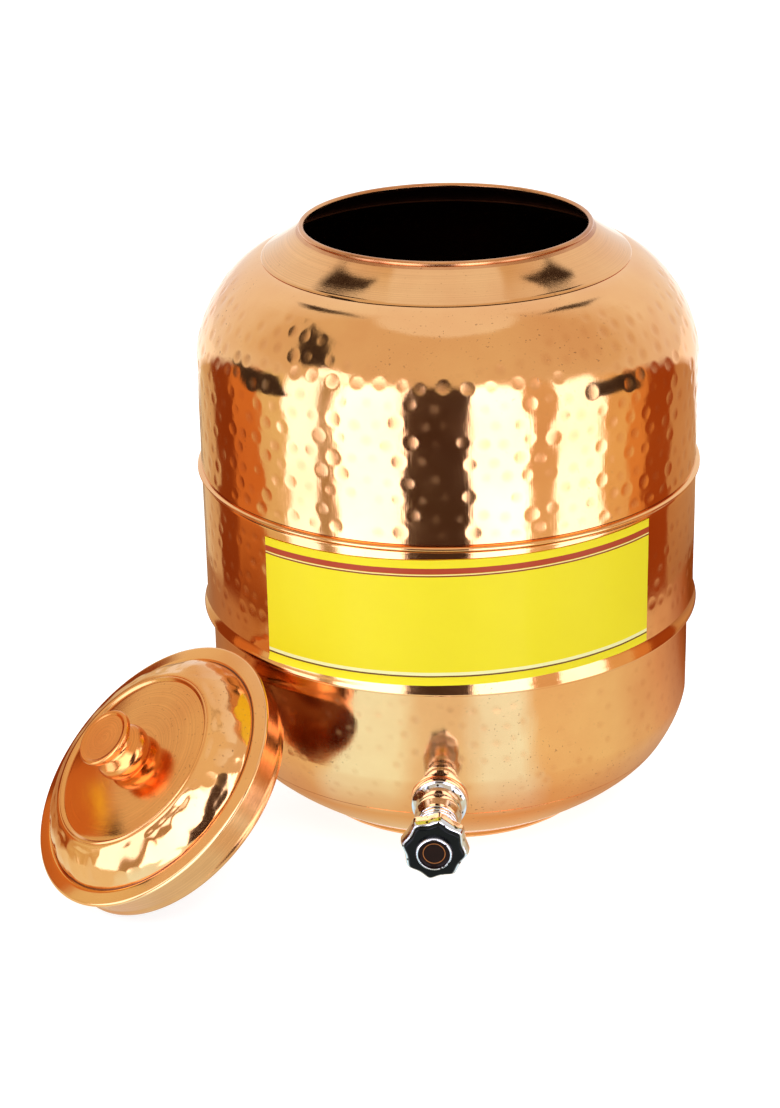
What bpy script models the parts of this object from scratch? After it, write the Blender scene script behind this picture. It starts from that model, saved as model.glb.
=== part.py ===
"""Copper water pot with a screw-down tap and a lift-off lid.

Metres, +Z up. The origin is the middle of the underside of the pot, on the
surface that it stands on. The tap points along -Y. The lid is off the pot and
leans against its wall, on the left of the tap.

The pot is five turned copper shells, lapped into each other from the foot to
the mouth. The tap is a real screw-down valve: turning its knob lifts the
jumper off the seat. The lid is a pressed cover on a plug skirt, with a turned
knob held by a screw from below.
"""
import bpy
import bmesh
import math
from mathutils import Matrix, Vector

for old_object in list(bpy.data.objects):
    bpy.data.objects.remove(old_object, do_unlink=True)

# Sheet, clearances and facets
SHEET = 0.0010
GAP = 0.0003
OVERRUN = 0.0050
MERGE = 0.00001
POT_FACETS = 40
LID_FACETS = 36
TAP_FACETS = 20
WEDGE_FACETS = 18
SCREW_FACETS = 12

# Pot, heights stacked from the foot up
BODY_RADIUS = 0.1400
FOOT_RADIUS = 0.0830
FOOT_HEIGHT = 0.0025
BASE_HEIGHT = 0.0400
CORNER_HEIGHT = 0.0640
LOWER_HEIGHT = 0.1190
MIDDLE_HEIGHT = 0.0832
UPPER_WALL_HEIGHT = 0.0658
SHOULDER_HEIGHT = 0.0545
NECK_HEIGHT = 0.0150
NECK_FOOT_RADIUS = 0.1012
MOUTH_RADIUS = 0.0795
RIM_BEAD = 0.0016
LOWER_INSET = 0.0029
WALL_LAP = 0.0070
NECK_LAP = 0.0060
BASE_LAP = 0.0022
JOGGLE = 0.0020
LOWER_BEAD_HEIGHT = 0.0042
LOWER_BEAD_PROUD = 0.0019
UPPER_BEAD_HEIGHT = 0.0026
UPPER_BEAD_PROUD = 0.0022
BEAD_SHARES = (0.5, 0.32, 0.0, -0.32, -0.5)
RIM_TURNS = (-20.0, 30.0, 75.0, 120.0, 165.0, 210.0, 255.0)

# Shape of the two turned curves: a superellipse, where 2 is an ellipse
CORNER_FULLNESS = 1.45
SHOULDER_FULLNESS = 1.60
CORNER_STEPS = 4
SHOULDER_STEPS = 6
BELLY_STEPS = 4
BELLY_OUT_SHARE = 0.82
BELLY_UP_SHARE = 0.61

# Label, a thin sheet round the middle band
LABEL_THICKNESS = 0.0004
LABEL_ARC = math.radians(100.0)
LABEL_TURN = math.radians(5.2)
LABEL_MARGIN_TOP = 0.0014
LABEL_MARGIN_BOTTOM = 0.0044
LABEL_COLUMNS = 24

# Tap, measured outwards along its axis from the face of its boss
TAP_ABOVE_SEAM = 0.0125
BOSS_PROUD = 0.0007
BOSS_RADIUS = 0.0156
SHANK_RADIUS = 0.0070
SHANK_HOLE_CLEARANCE = 0.0004
WATERWAY_RADIUS = 0.0042
SHANK_LENGTH = 0.0275
GASKET_THICKNESS = 0.0012
GASKET_RADIUS = 0.0120
FLANGE_RADIUS = 0.0150
FLANGE_THICKNESS = 0.0034
BODY_WAIST_RADIUS = 0.0116
BODY_RING_RADIUS = 0.0126
BODY_MOUTH_RADIUS = 0.0109
BODY_LENGTH = 0.0247
BODY_RING_SHARES = (0.62, 0.50, 0.36)
CHAMBER_RADIUS = 0.0084
SEAT_DEPTH = 0.0183
SPOUT_RADIUS = 0.0068
SPOUT_BORE_RADIUS = 0.0048
SPOUT_LIP = 0.0008
SPOUT_LIP_HEIGHT = 0.0030
SPOUT_DROP = 0.0285
SPOUT_SETBACK = 0.0027
INNER_WASHER_RADIUS = 0.0088
INNER_WASHER_THICKNESS = 0.0018
NUT_FLATS = 0.0168
NUT_THICKNESS = 0.0048

# Tap head: bonnet, gland and the screw that lifts the valve
BONNET_RADIUS = 0.0115
BONNET_LENGTH = 0.0062
SPIGOT_LENGTH = 0.0100
SPIGOT_CLEARANCE = 0.0004
SEAL_THICKNESS = 0.0008
SCREW_RADIUS = 0.0050
SCREW_LENGTH = 0.0090
SPINDLE_RADIUS = 0.0033
BONNET_WEB = 0.0020
GLAND_NUT_RADIUS = 0.0096
GLAND_NUT_LENGTH = 0.0058
GLAND_NECK_LENGTH = 0.0022
PACKING_RADIUS = 0.0062
PACKING_LENGTH = 0.0028
VALVE_RADIUS = 0.0066
VALVE_WASHER_THICKNESS = 0.0020
JUMPER_THICKNESS = 0.0018
JUMPER_STEM_RADIUS = 0.0018
JUMPER_STEM_LENGTH = 0.0050
WASHER_SCREW_RADIUS = 0.0013
WASHER_SCREW_HEAD_RADIUS = 0.0027
WASHER_SCREW_HEAD = 0.0012
WASHER_SCREW_LENGTH = 0.0034

# Knob and what is on it
VALVE_LIFT = 0.0030
KNOB_STANDOFF = 0.0008
KNOB_RADIUS = 0.0184
KNOB_DEPTH = 0.0118
KNOB_HUB_RADIUS = 0.0078
KNOB_HUB_LENGTH = 0.0039
KNOB_LOBES = 8
KNOB_LOBE_STEPS = 6
KNOB_LOBE_TURN = math.radians(80.7)
KNOB_LOBE_SHARPNESS = 1.3
KNOB_SCALLOP = 0.0026
KNOB_SIDE_SHARES = ((0.00, 0.93), (0.15, 1.00), (0.65, 0.985), (1.00, 0.92))
KNOB_FACE_SHARES = ((0.00, 0.88), (0.55, 0.87), (1.00, 0.83))
KNOB_FACE_THICKNESS = 0.0018
KNOB_WEB = 0.0030
KNOB_WELL_RADIUS = 0.0048
KNOB_SCREW_RADIUS = 0.0015
KNOB_SCREW_HEAD_RADIUS = 0.0032
KNOB_SCREW_HEAD = 0.0018
KNOB_SCREW_LENGTH = 0.0080
CAP_RING_RADIUS = 0.0092
CAP_RING_WALL = 0.0012
CAP_RING_HEIGHT = 0.0030
BADGE_THICKNESS = 0.0010

# Lid, measured from the plane of its flange
LID_RADIUS = 0.0808
LID_EDGE_BEAD = 0.0009
LID_FLANGE_LIFT = 0.0012
LID_VALLEY_RADIUS = 0.0708
LID_VALLEY_HEIGHT = 0.0010
LID_STEP_RADIUS = 0.0470
LID_CROWN_HEIGHT = 0.0138
LID_STEP_WIDTH = 0.0016
LID_STEP_HEIGHT = 0.0012
LID_DISH_RISE = 0.0012
LID_SHOULDER_FULLNESS = 1.9
LID_SHOULDER_STEPS = 5
SKIRT_CLEARANCE = 0.0021
SKIRT_DEPTH = 0.0195
SKIRT_HEM = 0.0006
SKIRT_HEM_HEIGHT = 0.0025
LID_TILT = math.radians(42.2)
LID_FACING = math.radians(-145.3)
LID_AZIMUTH = math.radians(-139.3)
LID_EDGE_SAMPLES = 360

# Lid knob, turned solid, heights above the crown that it stands on
LID_KNOB_TOP_RADIUS = 0.0168
LID_KNOB_HEIGHT = 0.0272
LID_KNOB_SHARES = ((0.00, 0.89), (0.05, 0.89), (0.09, 0.96), (0.17, 0.985), (0.26, 0.95),
                   (0.33, 0.83), (0.40, 0.87), (0.48, 0.83), (0.57, 0.66), (0.66, 0.62),
                   (0.74, 0.72), (0.80, 0.93), (0.84, 1.00), (0.96, 1.00), (1.00, 0.94))
LID_KNOB_RECESS = 0.0010
LID_SCREW_RADIUS = 0.0018
LID_SCREW_HEAD_RADIUS = 0.0042
LID_SCREW_HEAD = 0.0022
LID_SCREW_LENGTH = 0.0110
LID_WASHER_RADIUS = 0.0085
LID_WASHER_THICKNESS = 0.0012
SCREW_CLEARANCE = 0.0004

# Sizes that follow from the ones above
LOWER_RADIUS = BODY_RADIUS - LOWER_INSET
LAPPED_RADIUS = BODY_RADIUS - SHEET - GAP
TAP_HEIGHT = BASE_HEIGHT + TAP_ABOVE_SEAM
LOWER_SEAM_Z = LOWER_HEIGHT
UPPER_SEAM_Z = LOWER_SEAM_Z + MIDDLE_HEIGHT
SHOULDER_Z = UPPER_SEAM_Z + UPPER_WALL_HEIGHT
NECK_Z = SHOULDER_Z + SHOULDER_HEIGHT
MOUTH_Z = NECK_Z + NECK_HEIGHT
BOSS_FACE = LOWER_RADIUS + BOSS_PROUD


def new_material(name, colour, metallic, roughness):
    """A Principled material with one colour, metallic value and roughness."""
    material = bpy.data.materials.new(name)
    material.use_nodes = True
    shader = material.node_tree.nodes["Principled BSDF"]
    shader.inputs["Base Color"].default_value = (*colour, 1.0)
    shader.inputs["Metallic"].default_value = metallic
    shader.inputs["Roughness"].default_value = roughness
    material.diffuse_color = (*colour, 1.0)
    return material


def copper(name):
    return new_material(name + "_copper", (0.80, 0.40, 0.22), 1.0, 0.25)


def chrome(name):
    return new_material(name + "_chrome", (0.78, 0.77, 0.75), 1.0, 0.12)


def brass(name):
    return new_material(name + "_brass", (0.74, 0.56, 0.25), 1.0, 0.35)


def rubber(name):
    return new_material(name + "_rubber", (0.03, 0.03, 0.03), 0.0, 0.7)


def black_plastic(name):
    return new_material(name + "_plastic", (0.012, 0.014, 0.016), 0.0, 0.15)


def new_object(name, mesh, material=None, parent=None, smooth=True):
    """Link a mesh as an object under its parent, shaded smooth but for its edges."""
    if smooth:
        mesh.shade_smooth()
        mesh.set_sharp_from_angle(angle=math.radians(35.0))
    part = bpy.data.objects.new(name, mesh)
    bpy.context.scene.collection.objects.link(part)
    if material is not None:
        mesh.materials.append(material)
    part.parent = parent
    return part


def new_empty(name, matrix, parent=None):
    """An empty on a joint's axis, which carries the pieces that move on it."""
    empty = bpy.data.objects.new(name, None)
    bpy.context.scene.collection.objects.link(empty)
    empty.parent = parent
    empty.matrix_local = matrix
    return empty


def turned(name, outline, facets, material=None, parent=None):
    """Spin an outline of (radius, height) points about Z into one closed solid.

    An outline that starts and ends on the axis is left open there.
    """
    shape = bmesh.new()
    corners = [shape.verts.new((radius, 0.0, height)) for radius, height in outline]
    edges = [shape.edges.new(pair) for pair in zip(corners, corners[1:])]
    if outline[0][0] > 0.0 or outline[-1][0] > 0.0:
        edges.append(shape.edges.new((corners[-1], corners[0])))
    bmesh.ops.spin(
        shape,
        geom=corners + edges,
        cent=(0.0, 0.0, 0.0),
        axis=(0.0, 0.0, 1.0),
        angle=math.tau,
        steps=facets,
        use_merge=True,
    )
    bmesh.ops.remove_doubles(shape, verts=shape.verts, dist=MERGE)
    bmesh.ops.dissolve_degenerate(shape, edges=shape.edges, dist=MERGE)
    bmesh.ops.recalc_face_normals(shape, faces=shape.faces)
    mesh = bpy.data.meshes.new(name)
    shape.to_mesh(mesh)
    shape.free()
    return new_object(name, mesh, material, parent)


def ring_outline(inner, outer, low, high):
    """A plain ring, or a disc where the inner radius is zero."""
    return [(inner, high), (outer, high), (outer, low), (inner, low)]


def prism(name, outlines, material=None, parent=None, smooth=True):
    """Loft a solid through like-sized outlines of (x, y, z) points, closed at both ends."""
    shape = bmesh.new()
    rings = [[shape.verts.new(point) for point in outline] for outline in outlines]
    for lower, upper in zip(rings, rings[1:]):
        for here in range(len(lower)):
            after = (here + 1) % len(lower)
            shape.faces.new((lower[here], lower[after], upper[after], upper[here]))
    shape.faces.new(reversed(rings[0]))
    shape.faces.new(rings[-1])
    bmesh.ops.recalc_face_normals(shape, faces=shape.faces)
    mesh = bpy.data.meshes.new(name)
    shape.to_mesh(mesh)
    shape.free()
    return new_object(name, mesh, material, parent, smooth)


def combine(target, tool, operation):
    """Apply a tool body to a target with an exact Boolean, and hide the tool."""
    modifier = target.modifiers.new(tool.name, "BOOLEAN")
    modifier.operation = operation
    modifier.solver = "EXACT"
    modifier.object = tool
    tool.hide_render = True
    tool.display_type = "WIRE"


def cut(target, tool):
    combine(target, tool, "DIFFERENCE")


def offset(line, distance):
    """Shift a line of (radius, height) points to its right, with mitred corners.

    On a line that runs down the outside of a shell, the right is inwards.
    """
    normals = []
    for start, end in zip(line, line[1:]):
        along = Vector(end) - Vector(start)
        along.normalize()
        normals.append(Vector((along.y, -along.x)))
    shifted = []
    for index, point in enumerate(line):
        before = normals[max(index - 1, 0)]
        after = normals[min(index, len(normals) - 1)]
        middle = (before + after).normalized()
        shifted.append(tuple(Vector(point) + middle * (distance / middle.dot(after))))
    return shifted


def sheet_outline(line, thickness=SHEET):
    """Give a line of (radius, height) points the thickness of the sheet."""
    return line + list(reversed(offset(line, thickness)))


def superellipse(start, end, fullness, steps):
    """Points from the flat top (start) round to the upright side (end)."""
    points = []
    for step in range(steps + 1):
        turn = math.pi / 2 * step / steps
        out_share = math.sin(turn) ** (2.0 / fullness)
        up_share = max(math.cos(turn), 0.0) ** (2.0 / fullness)
        radius = start[0] + (end[0] - start[0]) * out_share
        height = end[1] + (start[1] - end[1]) * up_share
        points.append((radius, height))
    return points


def corner_radius(height):
    """Outer radius of the lower corner at a height above the floor."""
    fall = max(CORNER_HEIGHT - height, 0.0) / CORNER_HEIGHT
    share = (1.0 - fall ** CORNER_FULLNESS) ** (1.0 / CORNER_FULLNESS)
    return FOOT_RADIUS + (LOWER_RADIUS - FOOT_RADIUS) * share


def corner_line(high, low, steps):
    """Points down the outside of the lower corner between two heights."""
    heights = [high + (low - high) * step / steps for step in range(steps + 1)]
    return [(corner_radius(height), height) for height in heights]


def bead(radius, middle, height, proud):
    """Points down a half-round bead that stands proud of a wall."""
    points = []
    for share in BEAD_SHARES:
        swell = math.sqrt(max(1.0 - (2.0 * share) ** 2, 0.0))
        points.append((radius + proud * swell, middle + height * share))
    return points


def pot_shells():
    """The five copper shells, each lapped into the one above or below it."""
    mouth = (MOUTH_RADIUS, MOUTH_Z)
    neck_foot = (NECK_FOOT_RADIUS, NECK_Z)
    rim = []
    for turn in RIM_TURNS:
        angle = math.radians(turn)
        rim.append((mouth[0] + RIM_BEAD * math.cos(angle), mouth[1] + RIM_BEAD * math.sin(angle)))
    outside = [(mouth[0] + RIM_BEAD / 2, mouth[1] - RIM_BEAD), neck_foot]
    inside = offset(outside, SHEET)
    neck_outline = list(reversed(rim)) + [outside[0], outside[1], inside[1]]
    turned("neck_collar", neck_outline, POT_FACETS, copper("neck_collar"))

    # The shoulder runs on under the collar, one sheet and a gap below it
    under = offset([neck_foot, mouth], -(SHEET + GAP))
    slope = (Vector(under[1]) - Vector(under[0])).normalized()
    tongue_end = tuple(Vector(under[0]) + slope * NECK_LAP)
    shoulder = superellipse((under[0][0], under[0][1]), (BODY_RADIUS, SHOULDER_Z), SHOULDER_FULLNESS,
                            SHOULDER_STEPS)
    upper_bead = bead(BODY_RADIUS, UPPER_SEAM_Z, UPPER_BEAD_HEIGHT, UPPER_BEAD_PROUD)
    upper_line = [tongue_end] + shoulder + upper_bead
    turned("upper_shell", sheet_outline(upper_line), POT_FACETS, copper("upper_shell"))

    # The middle band steps in under the upper bead, and its own bead covers the lower shell
    tuck_z = UPPER_SEAM_Z - UPPER_BEAD_HEIGHT / 2 - GAP
    lower_bead = bead(BODY_RADIUS, LOWER_SEAM_Z, LOWER_BEAD_HEIGHT, LOWER_BEAD_PROUD)
    middle_line = [
        (LAPPED_RADIUS, tuck_z + WALL_LAP),
        (LAPPED_RADIUS, tuck_z),
        (BODY_RADIUS, tuck_z - JOGGLE),
    ] + lower_bead
    turned("middle_band", sheet_outline(middle_line), POT_FACETS, copper("middle_band"))

    step_z = LOWER_SEAM_Z - LOWER_BEAD_HEIGHT / 2
    lower_line = [
        (LAPPED_RADIUS, step_z + WALL_LAP),
        (LAPPED_RADIUS, step_z + JOGGLE),
        (LOWER_RADIUS, step_z),
    ] + corner_line(CORNER_HEIGHT, BASE_HEIGHT, CORNER_STEPS)
    lower = turned("lower_shell", sheet_outline(lower_line), POT_FACETS, copper("lower_shell"))

    # The base dish tucks inside the lower shell, and its foot is pressed flat
    seam = (corner_radius(BASE_HEIGHT), BASE_HEIGHT)
    tongue = offset(corner_line(BASE_HEIGHT + BASE_LAP, BASE_HEIGHT, 2), SHEET + GAP)
    drop = Vector(tongue[-1]) - Vector(tongue[-2])
    drop.normalize()
    foot_top = (FOOT_RADIUS, FOOT_HEIGHT)
    belly_start = tuple(Vector(seam) + drop * (JOGGLE + GAP))
    pull = (foot_top[0] + (belly_start[0] - foot_top[0]) * BELLY_OUT_SHARE,
            foot_top[1] + (belly_start[1] - foot_top[1]) * BELLY_UP_SHARE)
    belly = []
    for step in range(BELLY_STEPS + 1):
        along = step / BELLY_STEPS
        weights = ((1.0 - along) ** 2, 2.0 * along * (1.0 - along), along ** 2)
        belly.append(tuple(sum(weight * corner[axis] for weight, corner in
                               zip(weights, (belly_start, pull, foot_top))) for axis in (0, 1)))
    base_line = tongue + belly + [(FOOT_RADIUS, 0.0), (0.0, 0.0)]
    inner_line = offset(base_line[:-1], SHEET)
    base_outline = base_line + [(0.0, SHEET), (inner_line[-1][0], SHEET)] + list(reversed(inner_line[:-1]))
    turned("base_dish", base_outline, POT_FACETS, copper("base_dish"))
    return lower


def label_sheet():
    """The thin label, bent round the middle band between its two beads."""
    low = LOWER_SEAM_Z + LOWER_BEAD_HEIGHT / 2 + LABEL_MARGIN_BOTTOM
    high = UPPER_SEAM_Z - UPPER_BEAD_HEIGHT / 2 - JOGGLE - LABEL_MARGIN_TOP
    inner = BODY_RADIUS + GAP
    outer = inner + LABEL_THICKNESS
    start = -math.pi / 2 + LABEL_TURN - LABEL_ARC / 2
    sections = []
    for column in range(LABEL_COLUMNS + 1):
        angle = start + LABEL_ARC * column / LABEL_COLUMNS
        across = (math.cos(angle), math.sin(angle))
        corners = ((inner, low), (outer, low), (outer, high), (inner, high))
        sections.append([(across[0] * radius, across[1] * radius, height) for radius, height in corners])
    paper = new_material("label_paper", (0.93, 0.78, 0.06), 0.0, 0.45)
    prism("label", sections, paper)


def wall_cutters():
    """Bodies that follow the pot's wall inside and out, one gap clear of it."""
    line = [(LOWER_RADIUS, LOWER_HEIGHT)] + corner_line(CORNER_HEIGHT, BASE_HEIGHT, CORNER_STEPS)
    line.append((corner_radius(BASE_HEIGHT / 2), BASE_HEIGHT / 2))
    clear = offset(line, -GAP)
    outside = [(0.0, clear[0][1])] + clear + [(0.0, clear[-1][1])]
    inside_line = offset(line, SHEET + GAP)
    beyond = BOSS_FACE + OVERRUN
    inside = inside_line + [(beyond, inside_line[-1][1]), (beyond, inside_line[0][1])]
    return (turned("wall_outside_cutter", outside, POT_FACETS),
            turned("wall_inside_cutter", inside, POT_FACETS))


def tap_body(tap):
    """Shank, flange, valve chamber and spout in one casting, with its real waterways."""
    start = GAP
    waist = start + FLANGE_THICKNESS
    recess = start + GASKET_THICKNESS
    end = start + BODY_LENGTH
    chamber_floor = end - SEAT_DEPTH
    spout_q = end - SPOUT_SETBACK - SPOUT_RADIUS
    outline = [
        (BODY_MOUTH_RADIUS, end),
        (BODY_MOUTH_RADIUS, end - JOGGLE),
        (BODY_RING_RADIUS, waist + (end - waist) * BODY_RING_SHARES[0]),
        (BODY_RING_RADIUS, waist + (end - waist) * BODY_RING_SHARES[1]),
        (BODY_WAIST_RADIUS, waist + (end - waist) * BODY_RING_SHARES[2]),
        (BODY_WAIST_RADIUS + GAP, waist + JOGGLE / 2),
        (FLANGE_RADIUS - JOGGLE / 2, waist),
        (FLANGE_RADIUS, waist - JOGGLE / 2),
        (FLANGE_RADIUS, start),
        (GASKET_RADIUS + GAP, start),
        (GASKET_RADIUS + GAP, recess),
        (SHANK_RADIUS, recess),
        (SHANK_RADIUS, -SHANK_LENGTH),
        (WATERWAY_RADIUS, -SHANK_LENGTH),
        (WATERWAY_RADIUS, chamber_floor),
        (CHAMBER_RADIUS, chamber_floor),
        (CHAMBER_RADIUS, end),
    ]
    body = turned("tap_body", outline, TAP_FACETS, chrome("tap_body"), tap)

    # The spout hangs from the chamber, so its axis is upright in the world
    down = Matrix.Translation((0.0, 0.0, spout_q)) @ Matrix.Rotation(math.pi / 2, 4, "X")
    spout_axis = new_empty("spout_axis", down, tap)
    top = math.sqrt(CHAMBER_RADIUS ** 2 - SPOUT_RADIUS ** 2)
    tube = [
        (0.0, top),
        (SPOUT_RADIUS, top),
        (SPOUT_RADIUS, SPOUT_DROP - SPOUT_LIP_HEIGHT - SPOUT_LIP),
        (SPOUT_RADIUS + SPOUT_LIP, SPOUT_DROP - SPOUT_LIP_HEIGHT),
        (SPOUT_RADIUS + SPOUT_LIP, SPOUT_DROP),
        (0.0, SPOUT_DROP),
    ]
    spout = turned("spout_tube", tube, TAP_FACETS, None, spout_axis)
    combine(body, spout, "UNION")
    chamber = turned("chamber_cutter", ring_outline(0.0, CHAMBER_RADIUS, chamber_floor, end + OVERRUN),
                     TAP_FACETS, None, tap)
    cut(body, chamber)
    bore = turned("spout_bore_cutter", ring_outline(0.0, SPOUT_BORE_RADIUS, 0.0, SPOUT_DROP + OVERRUN),
                  TAP_FACETS, None, spout_axis)
    cut(body, bore)
    return chamber_floor, end


def tap_fixings(tap, lower):
    """What holds the tap in the wall: boss, gasket, wedge washer and back nut."""
    outside, inside = wall_cutters()
    hole_radius = SHANK_RADIUS + SHANK_HOLE_CLEARANCE
    hole = turned("tap_hole_cutter", ring_outline(0.0, hole_radius, -SHANK_LENGTH, OVERRUN),
                  TAP_FACETS, None, tap)
    cut(lower, hole)

    depth = BOSS_FACE - corner_radius(TAP_HEIGHT - BOSS_RADIUS) + OVERRUN
    boss = turned("tap_boss", ring_outline(hole_radius, BOSS_RADIUS, -depth, 0.0), TAP_FACETS,
                  copper("tap_boss"), tap)
    cut(boss, outside)

    gasket_outline = ring_outline(SHANK_RADIUS + GAP, GASKET_RADIUS, GAP, GASKET_THICKNESS)
    turned("tap_gasket", gasket_outline, TAP_FACETS, rubber("tap_gasket"), tap)

    # The wall leans inwards here, so the washer behind it is a wedge with a flat back
    lean = corner_radius(TAP_HEIGHT - INNER_WASHER_RADIUS)
    back = BOSS_FACE - lean + SHEET + GAP + INNER_WASHER_THICKNESS
    washer = turned("tap_wedge_washer",
                    ring_outline(SHANK_RADIUS + SHANK_HOLE_CLEARANCE, INNER_WASHER_RADIUS, -back, 0.0),
                    WEDGE_FACETS, rubber("tap_wedge_washer"), tap)
    cut(washer, inside)

    nut_front = -back - GAP
    sides = 6
    across = NUT_FLATS / 2 / math.cos(math.pi / sides)
    hexagon = [(across * math.cos(math.tau * side / sides), across * math.sin(math.tau * side / sides))
               for side in range(sides)]
    levels = (nut_front - NUT_THICKNESS, nut_front)
    nut = prism("tap_back_nut", [[(x, y, level) for x, y in hexagon] for level in levels],
                brass("tap_back_nut"), tap, smooth=False)
    nut_bore = turned("nut_bore_cutter",
                      ring_outline(0.0, SHANK_RADIUS + GAP, nut_front - NUT_THICKNESS - OVERRUN,
                                   nut_front + OVERRUN), TAP_FACETS, None, tap)
    cut(nut, nut_bore)


def tap_head(tap, body_end):
    """Bonnet with its seal, packing and gland nut, all fixed to the tap's body."""
    start = body_end + SEAL_THICKNESS + 2 * GAP
    turned("bonnet_seal", ring_outline(CHAMBER_RADIUS, BODY_MOUTH_RADIUS, body_end + GAP,
                                       body_end + GAP + SEAL_THICKNESS),
           TAP_FACETS, rubber("bonnet_seal"), tap)
    front = start + BONNET_LENGTH
    bore = SPINDLE_RADIUS + GAP
    web_back = front - PACKING_LENGTH - GAP - BONNET_WEB
    spigot = CHAMBER_RADIUS - SPIGOT_CLEARANCE
    outline = [
        (PACKING_RADIUS + GAP, front),
        (GLAND_NUT_RADIUS, front),
        (BONNET_RADIUS, front - JOGGLE / 2),
        (BONNET_RADIUS, start),
        (spigot, start),
        (spigot, start - SPIGOT_LENGTH),
        (SCREW_RADIUS + GAP, start - SPIGOT_LENGTH),
        (SCREW_RADIUS + GAP, web_back),
        (bore, web_back),
        (bore, web_back + BONNET_WEB),
        (PACKING_RADIUS + GAP, web_back + BONNET_WEB),
    ]
    turned("tap_bonnet", outline, TAP_FACETS, chrome("tap_bonnet"), tap)
    packing = ring_outline(bore, PACKING_RADIUS, front - PACKING_LENGTH, front - GAP)
    turned("gland_packing", packing, TAP_FACETS, rubber("gland_packing"), tap)
    nut_front = front + GAP + GLAND_NUT_LENGTH
    neck_radius = (GLAND_NUT_RADIUS + SPINDLE_RADIUS) / 2
    gland = [
        (bore, nut_front),
        (neck_radius, nut_front),
        (neck_radius + JOGGLE / 2, nut_front - GLAND_NECK_LENGTH),
        (GLAND_NUT_RADIUS, nut_front - GLAND_NECK_LENGTH - JOGGLE / 2),
        (GLAND_NUT_RADIUS, front + GAP),
        (bore, front + GAP),
    ]
    turned("gland_nut", gland, TAP_FACETS, chrome("gland_nut"), tap)
    return web_back, nut_front


def valve(carrier, chamber_floor):
    """Jumper, rubber washer and its screw, which slide off the seat together."""
    face = chamber_floor + GAP
    shank_hole = WASHER_SCREW_RADIUS + GAP
    turned("valve_washer", ring_outline(shank_hole, VALVE_RADIUS, face, face + VALVE_WASHER_THICKNESS),
           TAP_FACETS, rubber("valve_washer"), carrier)
    plate = face + VALVE_WASHER_THICKNESS + GAP
    top = plate + JUMPER_THICKNESS
    stem_end = top + JUMPER_STEM_LENGTH
    screw_end = face + WASHER_SCREW_LENGTH
    outline = [
        (0.0, stem_end),
        (JUMPER_STEM_RADIUS, stem_end),
        (JUMPER_STEM_RADIUS, top),
        (VALVE_RADIUS, top),
        (VALVE_RADIUS, plate),
        (shank_hole, plate),
        (shank_hole, screw_end + GAP),
        (0.0, screw_end + GAP),
    ]
    turned("valve_jumper", outline, TAP_FACETS, brass("valve_jumper"), carrier)
    screw = [
        (0.0, screw_end),
        (WASHER_SCREW_RADIUS, screw_end),
        (WASHER_SCREW_RADIUS, face - GAP),
        (WASHER_SCREW_HEAD_RADIUS, face - GAP),
        (WASHER_SCREW_HEAD_RADIUS, face - GAP - WASHER_SCREW_HEAD),
        (0.0, face - GAP - WASHER_SCREW_HEAD),
    ]
    turned("valve_washer_screw", screw, SCREW_FACETS, brass("valve_washer_screw"), carrier)
    return top, stem_end


def star(radius, level):
    """One outline of the knob: lobes round a circle, with hollows scooped between them."""
    points = []
    count = KNOB_LOBES * KNOB_LOBE_STEPS
    for index in range(count):
        turn = math.tau * index / count
        hollow = abs(math.sin(turn * KNOB_LOBES / 2)) ** KNOB_LOBE_SHARPNESS
        reach = radius - KNOB_SCALLOP * hollow
        angle = turn + KNOB_LOBE_TURN
        points.append((reach * math.cos(angle), reach * math.sin(angle), level))
    return points


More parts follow.
